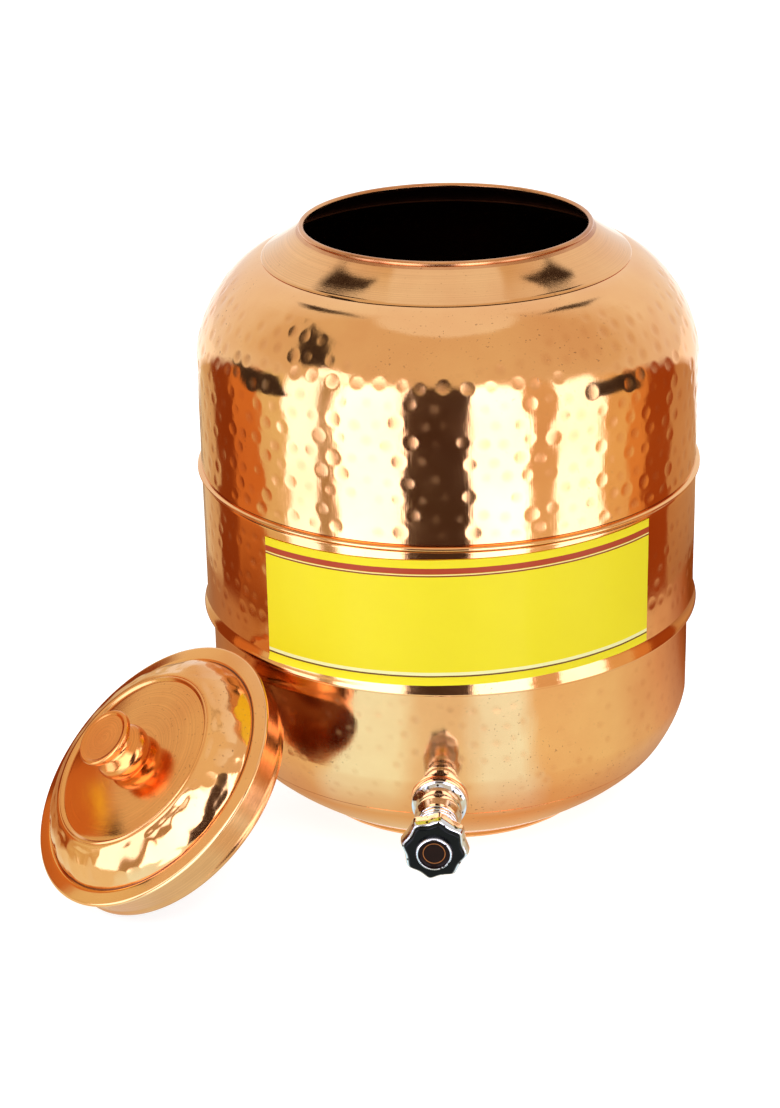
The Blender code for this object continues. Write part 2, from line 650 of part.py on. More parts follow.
def handle(axis, jumper_top, stem_end, gland_end):
    """Spindle, knob, face and trim, which turn together and rise on the spindle's screw."""
    rear = gland_end + KNOB_STANDOFF
    back = rear + KNOB_HUB_LENGTH
    front = back + KNOB_DEPTH
    well_floor = front - KNOB_DEPTH / 2
    seat = well_floor - KNOB_WEB
    socket = JUMPER_STEM_RADIUS + GAP
    socket_end = stem_end + GAP
    screw_start = jumper_top + GAP
    tapped = KNOB_SCREW_RADIUS + GAP
    screw_tip = well_floor + GAP - KNOB_SCREW_LENGTH
    outline = [
        (tapped, seat - GAP),
        (SPINDLE_RADIUS, seat - GAP),
        (SPINDLE_RADIUS, screw_start + SCREW_LENGTH),
        (SCREW_RADIUS, screw_start + SCREW_LENGTH),
        (SCREW_RADIUS, screw_start),
        (socket, screw_start),
        (socket, socket_end),
        (0.0, socket_end),
    ]
    outline = [(0.0, screw_tip - GAP), (tapped, screw_tip - GAP)] + outline
    turned("tap_spindle", outline, TAP_FACETS, brass("tap_spindle"), axis)

    face_back = front - KNOB_FACE_THICKNESS
    depth = face_back - GAP - back
    sides = [star(KNOB_RADIUS * reach, back + depth * along) for along, reach in KNOB_SIDE_SHARES]
    knob = prism("tap_knob", sides, chrome("tap_knob"), axis)
    edges = [star(KNOB_RADIUS * reach, face_back + KNOB_FACE_THICKNESS * along)
             for along, reach in KNOB_FACE_SHARES]
    face = prism("knob_face", edges, black_plastic("knob_face"), axis)
    hub = turned("knob_hub", ring_outline(0.0, KNOB_HUB_RADIUS, rear, back + KNOB_WEB), TAP_FACETS, None,
                 axis)
    combine(knob, hub, "UNION")
    bore_outline = [
        (0.0, front + OVERRUN),
        (KNOB_WELL_RADIUS, front + OVERRUN),
        (KNOB_WELL_RADIUS, well_floor),
        (tapped, well_floor),
        (tapped, seat),
        (SPINDLE_RADIUS + GAP, seat),
        (SPINDLE_RADIUS + GAP, rear - OVERRUN),
        (0.0, rear - OVERRUN),
    ]
    bore = turned("knob_bore_cutter", bore_outline, TAP_FACETS, None, axis)
    cut(knob, bore)
    cut(face, bore)

    head = well_floor + GAP
    screw = [
        (0.0, head + KNOB_SCREW_HEAD),
        (KNOB_SCREW_HEAD_RADIUS, head + KNOB_SCREW_HEAD),
        (KNOB_SCREW_HEAD_RADIUS, head),
        (KNOB_SCREW_RADIUS, head),
        (KNOB_SCREW_RADIUS, screw_tip),
        (0.0, screw_tip),
    ]
    turned("knob_screw", screw, SCREW_FACETS, brass("knob_screw"), axis)

    cap = front + GAP
    ring = [
        (CAP_RING_RADIUS - CAP_RING_WALL, cap + CAP_RING_HEIGHT),
        (CAP_RING_RADIUS - CAP_RING_WALL / 3, cap + CAP_RING_HEIGHT),
        (CAP_RING_RADIUS, cap + CAP_RING_HEIGHT - CAP_RING_WALL / 3),
        (CAP_RING_RADIUS, cap),
        (CAP_RING_RADIUS - CAP_RING_WALL, cap),
    ]
    turned("knob_cap_ring", ring, TAP_FACETS, chrome("knob_cap_ring"), axis)
    badge = ring_outline(0.0, CAP_RING_RADIUS - CAP_RING_WALL - GAP, cap, cap + BADGE_THICKNESS)
    turned("knob_badge", badge, TAP_FACETS, black_plastic("knob_badge"), axis)


def lid_crown_height(radius):
    """Height of the cover's top over its flange plane, on the inner dish."""
    across = min(radius / LID_STEP_RADIUS, 1.0)
    return LID_CROWN_HEIGHT - LID_STEP_HEIGHT + LID_DISH_RISE * (1.0 - across ** 2)


def lid_parts(axis, skirt_radius):
    """Pressed cover, plug skirt, turned knob, and the screw and washer that hold it."""
    hole = LID_SCREW_RADIUS + SCREW_CLEARANCE
    step = LID_STEP_RADIUS
    shoulder = superellipse((step + LID_STEP_WIDTH, LID_CROWN_HEIGHT), (LID_VALLEY_RADIUS, LID_VALLEY_HEIGHT),
                            LID_SHOULDER_FULLNESS, LID_SHOULDER_STEPS)
    flange_in = (LID_VALLEY_RADIUS + LID_STEP_WIDTH, LID_VALLEY_HEIGHT + LID_FLANGE_LIFT)
    edge = (LID_RADIUS - LID_EDGE_BEAD, LID_FLANGE_LIFT)
    top_line = [
        (hole, lid_crown_height(hole)),
        (step / 2, lid_crown_height(step / 2)),
        (step, lid_crown_height(step)),
    ] + shoulder + [flange_in, edge, (LID_RADIUS, LID_FLANGE_LIFT - LID_EDGE_BEAD), (LID_RADIUS, 0.0)]
    turned("lid_cover", sheet_outline(top_line), LID_FACETS, copper("lid_cover"), axis)

    # The skirt hangs under the flange, brazed to its underside
    under = offset([flange_in, edge], SHEET)
    fall = (under[1][1] - under[0][1]) / (under[1][0] - under[0][0])
    skirt_top = under[0][1] + fall * (skirt_radius - under[0][0]) - GAP
    hem_top = SKIRT_HEM_HEIGHT - SKIRT_DEPTH
    skirt_line = [
        (skirt_radius - SKIRT_HEM, skirt_top),
        (skirt_radius - SKIRT_HEM, hem_top),
        (skirt_radius, hem_top - SKIRT_HEM),
        (skirt_radius, -SKIRT_DEPTH),
    ]
    turned("lid_skirt", sheet_outline(skirt_line), LID_FACETS, copper("lid_skirt"), axis)

    foot = lid_crown_height(0.0) + GAP
    rise = LID_KNOB_HEIGHT
    tip = LID_SCREW_LENGTH - LID_WASHER_THICKNESS - SHEET - GAP
    side = [(LID_KNOB_TOP_RADIUS * reach, foot + rise * along) for along, reach in reversed(LID_KNOB_SHARES)]
    recess = LID_KNOB_TOP_RADIUS - 2 * LID_KNOB_RECESS
    outline = [(0.0, foot + rise - LID_KNOB_RECESS), (recess, foot + rise - LID_KNOB_RECESS)] + side
    outline += [(hole, foot), (hole, foot + tip + GAP), (0.0, foot + tip + GAP)]
    turned("lid_knob", outline, TAP_FACETS, copper("lid_knob"), axis)

    below = lid_crown_height(hole) - SHEET - GAP
    washer_low = below - LID_WASHER_THICKNESS
    turned("lid_knob_washer", ring_outline(hole, LID_WASHER_RADIUS, washer_low, below), TAP_FACETS,
           copper("lid_knob_washer"), axis)
    head_top = washer_low - GAP
    screw = [
        (0.0, head_top + LID_SCREW_LENGTH),
        (LID_SCREW_RADIUS, head_top + LID_SCREW_LENGTH),
        (LID_SCREW_RADIUS, head_top),
        (LID_SCREW_HEAD_RADIUS, head_top),
        (LID_SCREW_HEAD_RADIUS - JOGGLE / 2, head_top - LID_SCREW_HEAD),
        (0.0, head_top - LID_SCREW_HEAD),
    ]
    turned("lid_knob_screw", screw, SCREW_FACETS, brass("lid_knob_screw"), axis)


def wall_radius(height):
    """Outer radius that a leaning lid meets at a height: the corner, the wall, or the bead."""
    if height < LOWER_SEAM_Z - LOWER_BEAD_HEIGHT:
        return corner_radius(height)
    return BODY_RADIUS + max(LOWER_BEAD_PROUD, UPPER_BEAD_PROUD)


def leaning_lid_matrix(skirt_radius):
    """Place of the lid where its skirt stands on the floor and its edge leans on the wall.

    It faces a little aside from the line that joins it to the pot's axis, so every
    point of its two edges is pushed out along that line until the nearest one is clear.
    """
    turn = Matrix.Rotation(LID_FACING, 4, "Z") @ Matrix.Rotation(LID_TILT, 4, "Y")
    edge = []
    for radius, level in ((skirt_radius, -SKIRT_DEPTH), (LID_RADIUS, 0.0)):
        for sample in range(LID_EDGE_SAMPLES):
            angle = math.tau * sample / LID_EDGE_SAMPLES
            edge.append(turn @ Vector((radius * math.cos(angle), radius * math.sin(angle), level)))
    height = GAP - min(point.z for point in edge)
    out = Vector((math.cos(LID_AZIMUTH), math.sin(LID_AZIMUTH)))
    away = 0.0
    for point in edge:
        aside = point.x * out.y - point.y * out.x
        wall = wall_radius(point.z + height) + GAP
        if abs(aside) < wall:
            away = max(away, math.sqrt(wall ** 2 - aside ** 2) - point.x * out.x - point.y * out.y)
    return Matrix.Translation((out.x * away, out.y * away, height)) @ turn


lower_shell = pot_shells()
label_sheet()

tap_axis = new_empty("tap_axis", Matrix.Translation((0.0, -BOSS_FACE, TAP_HEIGHT))
                     @ Matrix.Rotation(math.pi / 2, 4, "X"))
tap_fixings(tap_axis, lower_shell)
seat_level, mouth_level = tap_body(tap_axis)
web_level, gland_level = tap_head(tap_axis, mouth_level)

valve_axis = new_empty("valve_axis", Matrix.Identity(4), tap_axis)
jumper_level, stem_level = valve(valve_axis, seat_level)
handle_axis = new_empty("handle_axis", Matrix.Identity(4), valve_axis)
handle(handle_axis, jumper_level, stem_level, gland_level)

plug_radius = MOUTH_RADIUS - RIM_BEAD - SKIRT_CLEARANCE
lid_axis = new_empty("lid_axis", leaning_lid_matrix(plug_radius))
lid_parts(lid_axis, plug_radius)
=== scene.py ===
"""Looks of the copper water pot, its screw-down tap and its leaning lid.

Metres, +Z up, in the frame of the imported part: the origin is the middle of the
pot's underside and the tap points along -Y. Every shell and fitting is a
surface of revolution worked out on a grid, pressed in where the hammer struck.
"""
import math

import bmesh
import bpy
import numpy as np
from mathutils import Matrix, Vector


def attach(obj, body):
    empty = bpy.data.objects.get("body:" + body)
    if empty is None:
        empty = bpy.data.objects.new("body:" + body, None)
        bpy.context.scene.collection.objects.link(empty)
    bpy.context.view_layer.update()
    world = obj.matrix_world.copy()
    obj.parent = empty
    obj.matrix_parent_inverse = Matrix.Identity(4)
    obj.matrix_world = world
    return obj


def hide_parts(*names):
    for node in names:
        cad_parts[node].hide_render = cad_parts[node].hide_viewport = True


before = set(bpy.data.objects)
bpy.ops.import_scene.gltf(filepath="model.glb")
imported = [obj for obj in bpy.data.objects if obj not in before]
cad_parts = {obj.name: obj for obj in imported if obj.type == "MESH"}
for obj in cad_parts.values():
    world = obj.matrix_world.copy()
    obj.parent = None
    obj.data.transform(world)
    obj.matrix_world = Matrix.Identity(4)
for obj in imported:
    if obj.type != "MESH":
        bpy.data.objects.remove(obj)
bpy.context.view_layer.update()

scene = bpy.context.scene


# Base dish. The pressed bottom of the pot: one copper sheet with a flat foot,
# pushed up inside the lower shell and soldered there, which leaves a fine seam.
SHEET = 0.0010
SEAM_GAP = 0.0003
SEAM_LAP = 0.0004
LOWER_RADIUS = 0.1371
FOOT_RADIUS = 0.0830
CORNER_HEIGHT = 0.0640
CORNER_FULLNESS = 1.45
BASE_SEAM_Z = 0.0400
BASE_SPOKES = 360
BASE_SPACING = 0.0016


def even_line(points, spacing):
    """Points spaced evenly along straight runs between corners, every corner kept."""
    points = np.asarray(points, float)
    pieces = []
    for start, end in zip(points[:-1], points[1:]):
        count = max(1, int(round(np.linalg.norm(end - start) / spacing)))
        share = np.linspace(0.0, 1.0, count, endpoint=False)[:, None]
        pieces.append(start + (end - start) * share)
    return np.vstack(pieces + [points[-1:]])


def even_curve(points, spacing):
    """Points spaced evenly by length along a finely sampled curve."""
    points = np.asarray(points, float)
    run = np.concatenate([[0.0], np.cumsum(np.linalg.norm(np.diff(points, axis=0), axis=1))])
    count = max(2, int(round(run[-1] / spacing)) + 1)
    at = np.linspace(0.0, run[-1], count)
    return np.stack([np.interp(at, run, points[:, axis]) for axis in (0, 1)], axis=1)


def outline_normals(line, closed=False):
    """Outward unit normals: the tangent (dr, dz) turned to (-dz, dr)."""
    if closed:
        tangent = np.roll(line, -1, axis=0) - np.roll(line, 1, axis=0)
    else:
        tangent = np.gradient(line, axis=0)
    normal = np.stack([-tangent[:, 1], tangent[:, 0]], axis=1)
    return normal / np.maximum(np.linalg.norm(normal, axis=1, keepdims=True), 1e-12)


def walled(line, thickness, spacing):
    """Closed outline of a sheet: down the outside line, and back up a copy one thickness inside it."""
    inner = even_curve(line - outline_normals(line) * thickness, spacing)
    return np.vstack([line, inner[::-1]])


def corner_radius(height):
    """Superellipse corner: r = foot + (wall - foot) (1 - t^p)^(1/p), t falling from foot to wall."""
    fall = np.clip((CORNER_HEIGHT - height) / CORNER_HEIGHT, 0.0, 1.0)
    share = (1.0 - fall ** CORNER_FULLNESS) ** (1.0 / CORNER_FULLNESS)
    return FOOT_RADIUS + (LOWER_RADIUS - FOOT_RADIUS) * share


def grid_mesh(name, points, faces, uv, finishes, face_finish=None, sharp=38.0):
    """A mesh from whole arrays of points, four-cornered faces and their corner UVs."""
    mesh = bpy.data.meshes.new(name)
    mesh.vertices.add(len(points))
    mesh.vertices.foreach_set("co", np.ascontiguousarray(points, np.float32).ravel())
    mesh.loops.add(faces.size)
    mesh.loops.foreach_set("vertex_index", faces.astype(np.int32).ravel())
    mesh.polygons.add(len(faces))
    mesh.polygons.foreach_set("loop_start", np.arange(0, faces.size, 4, dtype=np.int32))
    mesh.update(calc_edges=True)
    layer = mesh.uv_layers.new(name="run")
    layer.data.foreach_set("uv", np.ascontiguousarray(uv, np.float32).ravel())
    for finish in finishes:
        mesh.materials.append(finish)
    if face_finish is not None:
        mesh.polygons.foreach_set("material_index", face_finish.astype(np.int32))
    mesh.shade_smooth()
    mesh.set_sharp_from_angle(angle=math.radians(sharp))
    piece = bpy.data.objects.new(name, mesh)
    scene.collection.objects.link(piece)
    return piece


def close_pole(piece):
    """Merges the ring of points that a turned surface leaves where it meets its axis."""
    shape = bmesh.new()
    shape.from_mesh(piece.data)
    bmesh.ops.remove_doubles(shape, verts=shape.verts, dist=1e-6)
    shape.to_mesh(piece.data)
    shape.free()


def grid_faces(rows, columns, rows_close=True, columns_close=True):
    """Faces of a grid of points as rows of four point numbers, and the row and column of each."""
    i, j = np.meshgrid(np.arange(rows - (not rows_close)), np.arange(columns - (not columns_close)),
                       indexing="ij")
    after, beside = (i + 1) % rows, (j + 1) % columns
    faces = np.stack([i * columns + j, after * columns + j, after * columns + beside, i * columns + beside],
                     axis=-1)
    return faces.reshape(-1, 4), i, j


def full_turn(spokes):
    """The angles of evenly spaced spokes."""
    return np.arange(spokes) * (2.0 * math.pi / spokes)


def turned(name, outline, spokes, finishes, press=None, place=None, loop=True, inside=(), struck=None):
    """Surface of revolution: point (i, j) is outline point i, moved in by press[i, j] along its
    normal, then turned by 2 pi j / spokes about Z. UV is (share of a turn, metres along x 10).
    Each outline point named in `inside` starts the next finish, and `struck` keeps at each point
    how deep the hammer went there, from 0 to 1."""
    count = len(outline)
    normal = outline_normals(outline, loop)
    depth = np.zeros((count, spokes)) if press is None else press
    radius = outline[:, None, 0] - depth * normal[:, None, 0]
    height = outline[:, None, 1] - depth * normal[:, None, 1]
    angle = full_turn(spokes)
    points = np.stack([radius * np.cos(angle), radius * np.sin(angle), height + 0.0 * radius], axis=-1)
    points = points.reshape(-1, 3)
    if place is not None:
        points = points @ place[:3, :3].T + place[:3, 3]
    faces, i, j = grid_faces(count, spokes, loop)
    steps = np.linalg.norm(np.diff(np.vstack([outline, outline[:1]]), axis=0), axis=1)
    run = np.concatenate([[0.0], np.cumsum(steps)]) * 10.0
    left, right = j / spokes, (j + 1) / spokes
    uv = np.stack([left, run[i], left, run[i + 1], right, run[i + 1], right, run[i]], axis=-1)
    face_finish = sum((i.reshape(-1) >= start).astype(np.int32) for start in inside) if inside else None
    piece = grid_mesh(name, points, faces, uv, finishes, face_finish)
    if struck is not None:
        layer = piece.data.attributes.new("struck", "FLOAT", "POINT")
        layer.data.foreach_set("value", np.ascontiguousarray(struck, np.float32).ravel())
    if not loop:
        close_pole(piece)
    return piece


def ripple(along, angle, seed, height, waves=26, rounds=(14, 60), length=0.030):
    """Slow waviness of hand-worked sheet: a sum of cosines, each with a whole number of waves
    round the shell and its own slant."""
    draw = np.random.default_rng(seed)
    total = np.zeros((len(along), len(angle)))
    for _ in range(waves):
        turns = int(draw.integers(rounds[0], rounds[1]))
        slant = draw.uniform(-1.0, 1.0) * 2.0 * math.pi / length
        phase = draw.uniform(0.0, 2.0 * math.pi)
        size = 18.0 / turns
        total += size * np.cos(turns * angle[None, :] + slant * along[:, None] + phase)
    return total * height / math.sqrt(waves)


def faded(count, first, last, soft=6):
    """A row mask that is 1 between two outline points and fades to 0 at both."""
    index = np.arange(count)
    return np.clip(np.minimum(index - first, last - index) / soft, 0.0, 1.0)[:, None]


def give(tree, node, inputs):
    """Gives sockets of a node, by name or number, a value or the output that feeds them."""
    for socket, value in inputs.items():
        if isinstance(value, bpy.types.NodeSocket):
            tree.links.new(value, node.inputs[socket])
        elif value is not None:
            node.inputs[socket].default_value = value


def add_node(tree, kind, inputs=None, **settings):
    """A new node with its own settings, and then its inputs."""
    node = tree.nodes.new(kind)
    for setting, value in settings.items():
        setattr(node, setting, value)
    give(tree, node, inputs or {})
    return node


def noise(tree, vector, scale, detail, rough=0.5):
    """Cloudy noise from 0 to 1."""
    return add_node(tree, "ShaderNodeTexNoise", {"Vector": vector, "Scale": scale, "Detail": detail,
                                                 "Roughness": rough}).outputs["Fac"]


def ranged(tree, value, low, high, to_low=0.0, to_high=1.0):
    """A value carried from one range to another, and held at its ends."""
    return add_node(tree, "ShaderNodeMapRange", {"Value": value, "From Min": low, "From Max": high,
                                                 "To Min": to_low, "To Max": to_high}).outputs["Result"]


def joined(tree, first, second, operation="MULTIPLY"):
    """Two values multiplied, or put together by the named sum."""
    return add_node(tree, "ShaderNodeMath", {0: first, 1: second}, operation=operation).outputs[0]


def blended(tree, share, first, second, blend_type="MIX"):
    """One colour passing into another; sockets 6 and 7 of the node are its colours."""
    return add_node(tree, "ShaderNodeMix", {0: share, 6: first, 7: second}, data_type="RGBA",
                    blend_type=blend_type).outputs[2]


def bumped(tree, height, strength, distance, normal=None):
    """A normal bent by a height, which is counted in units of the distance."""
    return add_node(tree, "ShaderNodeBump", {"Height": height, "Strength": strength, "Distance": distance,
                                             "Normal": normal}).outputs["Normal"]


COPPER_BRIGHT, COPPER_DEEP = (0.88, 0.50, 0.22, 1.0), (0.80, 0.40, 0.17, 1.0)
STRUCK_COPPER, TARNISH = (0.62, 0.25, 0.09, 1.0), (0.10, 0.03, 0.012, 1.0)


def copper_skin_group():
    """Shared look of worked copper: slow colour drift, small dark tarnish flecks, redder and duller
    hammer marks, and a bump of fine pits, polishing marks and upright streaks. Gives colour,
    roughness and normal from object coordinates and from how deep the hammer went."""
    group = bpy.data.node_groups.new("copper_skin", "ShaderNodeTree")
    for label, kind, default in (
            ("Vector", "NodeSocketVector", None), ("Bright", "NodeSocketColor", COPPER_BRIGHT),
            ("Deep", "NodeSocketColor", COPPER_DEEP), ("Fleck", "NodeSocketFloat", 0.5),
            ("Smooth", "NodeSocketFloat", 0.10), ("Marks", "NodeSocketFloat", 0.10),
            ("Streaks", "NodeSocketFloat", 0.0), ("Struck", "NodeSocketFloat", 0.0)):
        socket = group.interface.new_socket(name=label, in_out="INPUT", socket_type=kind)
        if default is not None:
            socket.default_value = default
    for label, kind in (("Color", "NodeSocketColor"), ("Roughness", "NodeSocketFloat"),
                        ("Normal", "NodeSocketVector")):
        group.interface.new_socket(name=label, in_out="OUTPUT", socket_type=kind)
    given = add_node(group, "NodeGroupInput").outputs
    at, struck = given["Vector"], given["Struck"]
    where = ranged(group, noise(group, at, 11.0, 2.0, 0.55), 0.50, 0.66)
    flecks = joined(group, ranged(group, noise(group, at, 620.0, 2.5), 0.665, 0.70), where)
    flecks = joined(group, flecks, given["Fleck"])
    drift = ranged(group, noise(group, at, 16.0, 4.0, 0.55), 0.35, 0.68)
    colour = blended(group, drift, given["Bright"], given["Deep"])
    colour = blended(group, joined(group, struck, 0.60), colour, STRUCK_COPPER)
    colour = blended(group, flecks, colour, TARNISH)
    rough = ranged(group, noise(group, at, 45.0, 5.0, 0.6), 0.3, 0.8, 0.0, 0.10)
    for more in (given["Smooth"], joined(group, flecks, 0.3), joined(group, struck, 0.20)):
        rough = joined(group, rough, more, "ADD")
    upright = add_node(group, "ShaderNodeMapping", {"Vector": at, "Scale": (1.0, 1.0, 0.07)})
    streaks = joined(group, noise(group, upright.outputs["Vector"], 900.0, 3.0, 0.6), given["Streaks"])
    fine = joined(group, noise(group, at, 2400.0, 3.0, 0.55), 0.35)
    fine = joined(group, fine, noise(group, at, 380.0, 3.0, 0.55), "ADD")
    fine = joined(group, joined(group, fine, streaks, "ADD"), flecks, "SUBTRACT")
    add_node(group, "NodeGroupOutput", {"Color": colour, "Roughness": rough,
                                        "Normal": bumped(group, fine, given["Marks"], 0.00012)})
    return group


copper_skin = copper_skin_group()


def blank_finish(name):
    """A new material with its node tree and its Principled shader."""
    material = bpy.data.materials.new(name)
    material.use_nodes = True
    return material, material.node_tree, material.node_tree.nodes["Principled BSDF"]


def copper_finish(name, fleck=0.5, smooth=0.10, marks=0.10, bright=COPPER_BRIGHT, deep=COPPER_DEEP,
                  streaks=0.0):
    """Polished copper: the shared skin on a metallic Principled shader."""
    material, tree, shader = blank_finish(name)
    place = add_node(tree, "ShaderNodeTexCoord").outputs["Object"]
    struck = add_node(tree, "ShaderNodeAttribute", attribute_name="struck").outputs["Fac"]
    skin = add_node(tree, "ShaderNodeGroup", node_tree=copper_skin)
    give(tree, skin, {"Vector": place, "Bright": bright, "Deep": deep, "Fleck": fleck, "Smooth": smooth,
                      "Marks": marks, "Streaks": streaks, "Struck": struck})
    give(tree, shader, {"Metallic": 1.0, "Base Color": skin.outputs["Color"],
                        "Roughness": skin.outputs["Roughness"], "Normal": skin.outputs["Normal"]})
    return material


wall_copper = copper_finish("wall_copper", fleck=0.55, smooth=0.06, marks=0.09, streaks=1.6)
inside_copper = copper_finish("inside_copper", fleck=0.3, smooth=0.34, marks=0.3,
                              bright=(0.10, 0.035, 0.016, 1.0), deep=(0.05, 0.018, 0.009, 1.0))

tongue_z = np.linspace(BASE_SEAM_Z + 0.0022, BASE_SEAM_Z, 5)
tongue = np.stack([corner_radius(tongue_z), tongue_z], axis=1)
tongue = tongue - outline_normals(tongue) * (SHEET + SEAM_GAP)
fall = tongue[-1] - tongue[-2]
belly_top = np.array([corner_radius(BASE_SEAM_Z), BASE_SEAM_Z]) + fall / np.linalg.norm(fall) * SEAM_LAP
foot_top = np.array([FOOT_RADIUS, 0.0025])
pull = foot_top + (belly_top - foot_top) * np.array([0.82, 0.61])
step = np.linspace(0.0, 1.0, 200)[:, None]
belly = (1.0 - step) ** 2 * belly_top + 2.0 * step * (1.0 - step) * pull + step ** 2 * foot_top
base_line = np.vstack([tongue, even_curve(belly, BASE_SPACING),
                       even_line([(FOOT_RADIUS, 0.0018), (FOOT_RADIUS - 0.0004, 0.0002),
                                  (FOOT_RADIUS - 0.0012, 0.0), (0.040, 0.0), (0.0, 0.0)], 0.004)])
base_inner = base_line - outline_normals(base_line) * SHEET
base_inner = base_inner[base_inner[:, 0] > 0.001]
base_outline = np.vstack([base_line, [(0.0, SHEET)], even_curve(base_inner, 0.003)[::-1]])
base_wave = ripple(np.arange(len(base_line)) * BASE_SPACING, full_turn(BASE_SPOKES), 3, 0.00004)
base_press = np.zeros((len(base_outline), BASE_SPOKES))
base_press[:len(base_line)] = (base_wave - base_wave[5:50].min()) * faded(len(base_line), 5, 49)
base_dish = turned("base_dish_skin", base_outline, BASE_SPOKES, [wall_copper, inside_copper],
                   press=base_press, inside=(len(base_line),))
close_pole(base_dish)
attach(base_dish, "pot")
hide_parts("base_dish")


# Lower shell. The inset lower wall and the round corner, raised from one sheet
# and hammered all over. Its top edge runs up behind the bead of the middle band.
LOWER_TOP_Z = 0.1169
BAND_INNER_RADIUS = 0.1387
WALL_SPOKES = 720
WALL_SPACING = 0.008
LOWER_SPACING = 0.00115
LOWER_MARK_DEPTH = 0.00006
wall_angle = full_turn(WALL_SPOKES)


def hammer_marks(along, around, round_length, spacing, width, depth, seed, keep=1.0, edge=0.0, climb=0,
                 stray=0.30):
    """Depth of round hammer marks, one near the middle of each cell of a staggered grid:
    depth x (1 - (distance / radius)^2) within a mark, and a low raised lip just outside it.
    `spacing` is (down, round), and the rows rise by `climb` rows in one turn."""
    columns = max(3, int(round(round_length / spacing[1])))
    pitch, pitch_round = spacing[0], round_length / columns
    down_here = along[:, None] + climb * pitch * (around / round_length)[None, :]
    rows = int(math.ceil(along.max() / pitch)) + abs(climb) + 3
    draw = np.random.default_rng(seed).random((rows, columns, 4))
    row = np.floor(down_here / pitch).astype(int)
    col = np.broadcast_to(np.floor(around / pitch_round).astype(int), row.shape)
    total = np.zeros(row.shape)
    lip = np.zeros(row.shape)
    for down in (-1, 0, 1):
        for beside in (-1, 0, 1):
            this_row = np.clip(row + down + 1, 0, rows - 1)
            this_col = (col + beside) % columns
            across, upright, size, chance = np.moveaxis(draw[this_row, this_col], -1, 0)
            stagger = 0.5 * ((row + down) % 2)
            centre_down = (row + down + 0.5 + stray * (upright - 0.5)) * pitch
            centre_round = (col + beside + 0.25 + stagger + stray * (across - 0.5)) * pitch_round
            gap_round = around[None, :] - centre_round
            gap_round = (gap_round + round_length / 2) % round_length - round_length / 2
            reach = 0.5 * width * (0.86 + 0.28 * size)
            away = np.hypot(down_here - centre_down, gap_round) / reach
            struck = (chance < keep) * depth * (0.65 + 0.70 * size)
            total = np.maximum(total, struck * np.clip(1.0 - away ** 2, 0.0, 1.0))
            lip = np.maximum(lip, struck * edge * np.exp(-((away - 1.10) / 0.14) ** 2))
    return total - lip * (total <= 0.0)


def hammered_shell(name, line, press, struck):
    """A sheet shell pressed on its outer face only, by the given depth at each point."""
    outline = walled(line, SHEET, WALL_SPACING)
    worked = np.zeros((2, len(outline), WALL_SPOKES))
    worked[:, :len(line)] = press, struck
    return turned(name, outline, WALL_SPOKES, [wall_copper, inside_copper], press=worked[0],
                  inside=(len(line),), struck=worked[1])


corner_z = np.linspace(CORNER_HEIGHT, BASE_SEAM_Z, 200)
lower_wall = np.vstack([[(LOWER_RADIUS, LOWER_TOP_Z)], np.stack([corner_radius(corner_z), corner_z], axis=1)])
lower_top = even_line([(BAND_INNER_RADIUS, LOWER_TOP_Z + 0.0070), (BAND_INNER_RADIUS, LOWER_TOP_Z + 0.0020),
                       (LOWER_RADIUS, LOWER_TOP_Z)], 0.0030)
lower_line = np.vstack([lower_top[:-1], even_curve(lower_wall, LOWER_SPACING)])
lower_run = np.arange(len(lower_line)) * LOWER_SPACING
lower_marks = hammer_marks(lower_run, wall_angle * LOWER_RADIUS, 2.0 * math.pi * LOWER_RADIUS,
                           (0.0100, 0.0116), 0.0052, LOWER_MARK_DEPTH, 11, 0.62, 0.12, climb=-6, stray=0.7)
lower_wave = ripple(lower_run, wall_angle, 12, 0.00009)
lower_mask = faded(len(lower_line), len(lower_top) + 1, len(lower_line) - 2)
lower_shell = hammered_shell("lower_shell_skin", lower_line,
                             (lower_marks + lower_wave - lower_wave.min()) * lower_mask,
                             np.clip(0.4 * lower_marks / LOWER_MARK_DEPTH, 0.0, 1.0) * lower_mask)
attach(lower_shell, "pot")
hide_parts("lower_shell")


# Middle band. A straight hammered band whose bottom edge is rolled out into the
# heavy lower bead, and whose top edge steps in behind the upper bead.
BODY_RADIUS = 0.1400
LOWER_BEAD_Z = 0.1190
UPPER_BEAD_Z = 0.2022
FLARE_TOP_Z = 0.1254
BEAD_REACH = 0.0019
BAND_SPACING = 0.00125
BAND_MARK_DEPTH = 0.00010


def bead_line(radius, middle, height, proud, count=13):
    """Down a half-round bead: r = radius + proud sqrt(1 - (2 s)^2), s from 1/2 to -1/2."""
    share = 0.5 * np.cos(np.linspace(0.0, math.pi, count))
    return np.stack([radius + proud * np.sqrt(np.clip(1.0 - (2.0 * share) ** 2, 0.0, 1.0)),
                     middle + height * share], axis=1)


band_top = even_line([(BAND_INNER_RADIUS, 0.2076), (BAND_INNER_RADIUS, 0.2006), (0.1394, 0.1998),
                      (0.1399, 0.1992), (BODY_RADIUS, 0.1986)], 0.0030)
band_wall = even_line([(BODY_RADIUS, 0.1984), (BODY_RADIUS, FLARE_TOP_Z + 0.0006)], BAND_SPACING)
flare_share = np.linspace(0.0, 1.0, 7)[:, None]
flare = (np.array([(BODY_RADIUS, FLARE_TOP_Z)]) * (1.0 - flare_share)
         + np.array([(BODY_RADIUS + BEAD_REACH - 0.0002, LOWER_BEAD_Z + 0.0010)]) * flare_share)
flare[:, 0] -= 0.00025 * np.sin(flare_share[:, 0] * math.pi)
bead_turn = np.radians(np.linspace(35.0, -110.0, 10))
bead_under = np.stack([BODY_RADIUS + 0.0009 + 0.0010 * np.cos(bead_turn),
                       LOWER_BEAD_Z - 0.0002 + 0.0013 * np.sin(bead_turn)], axis=1)
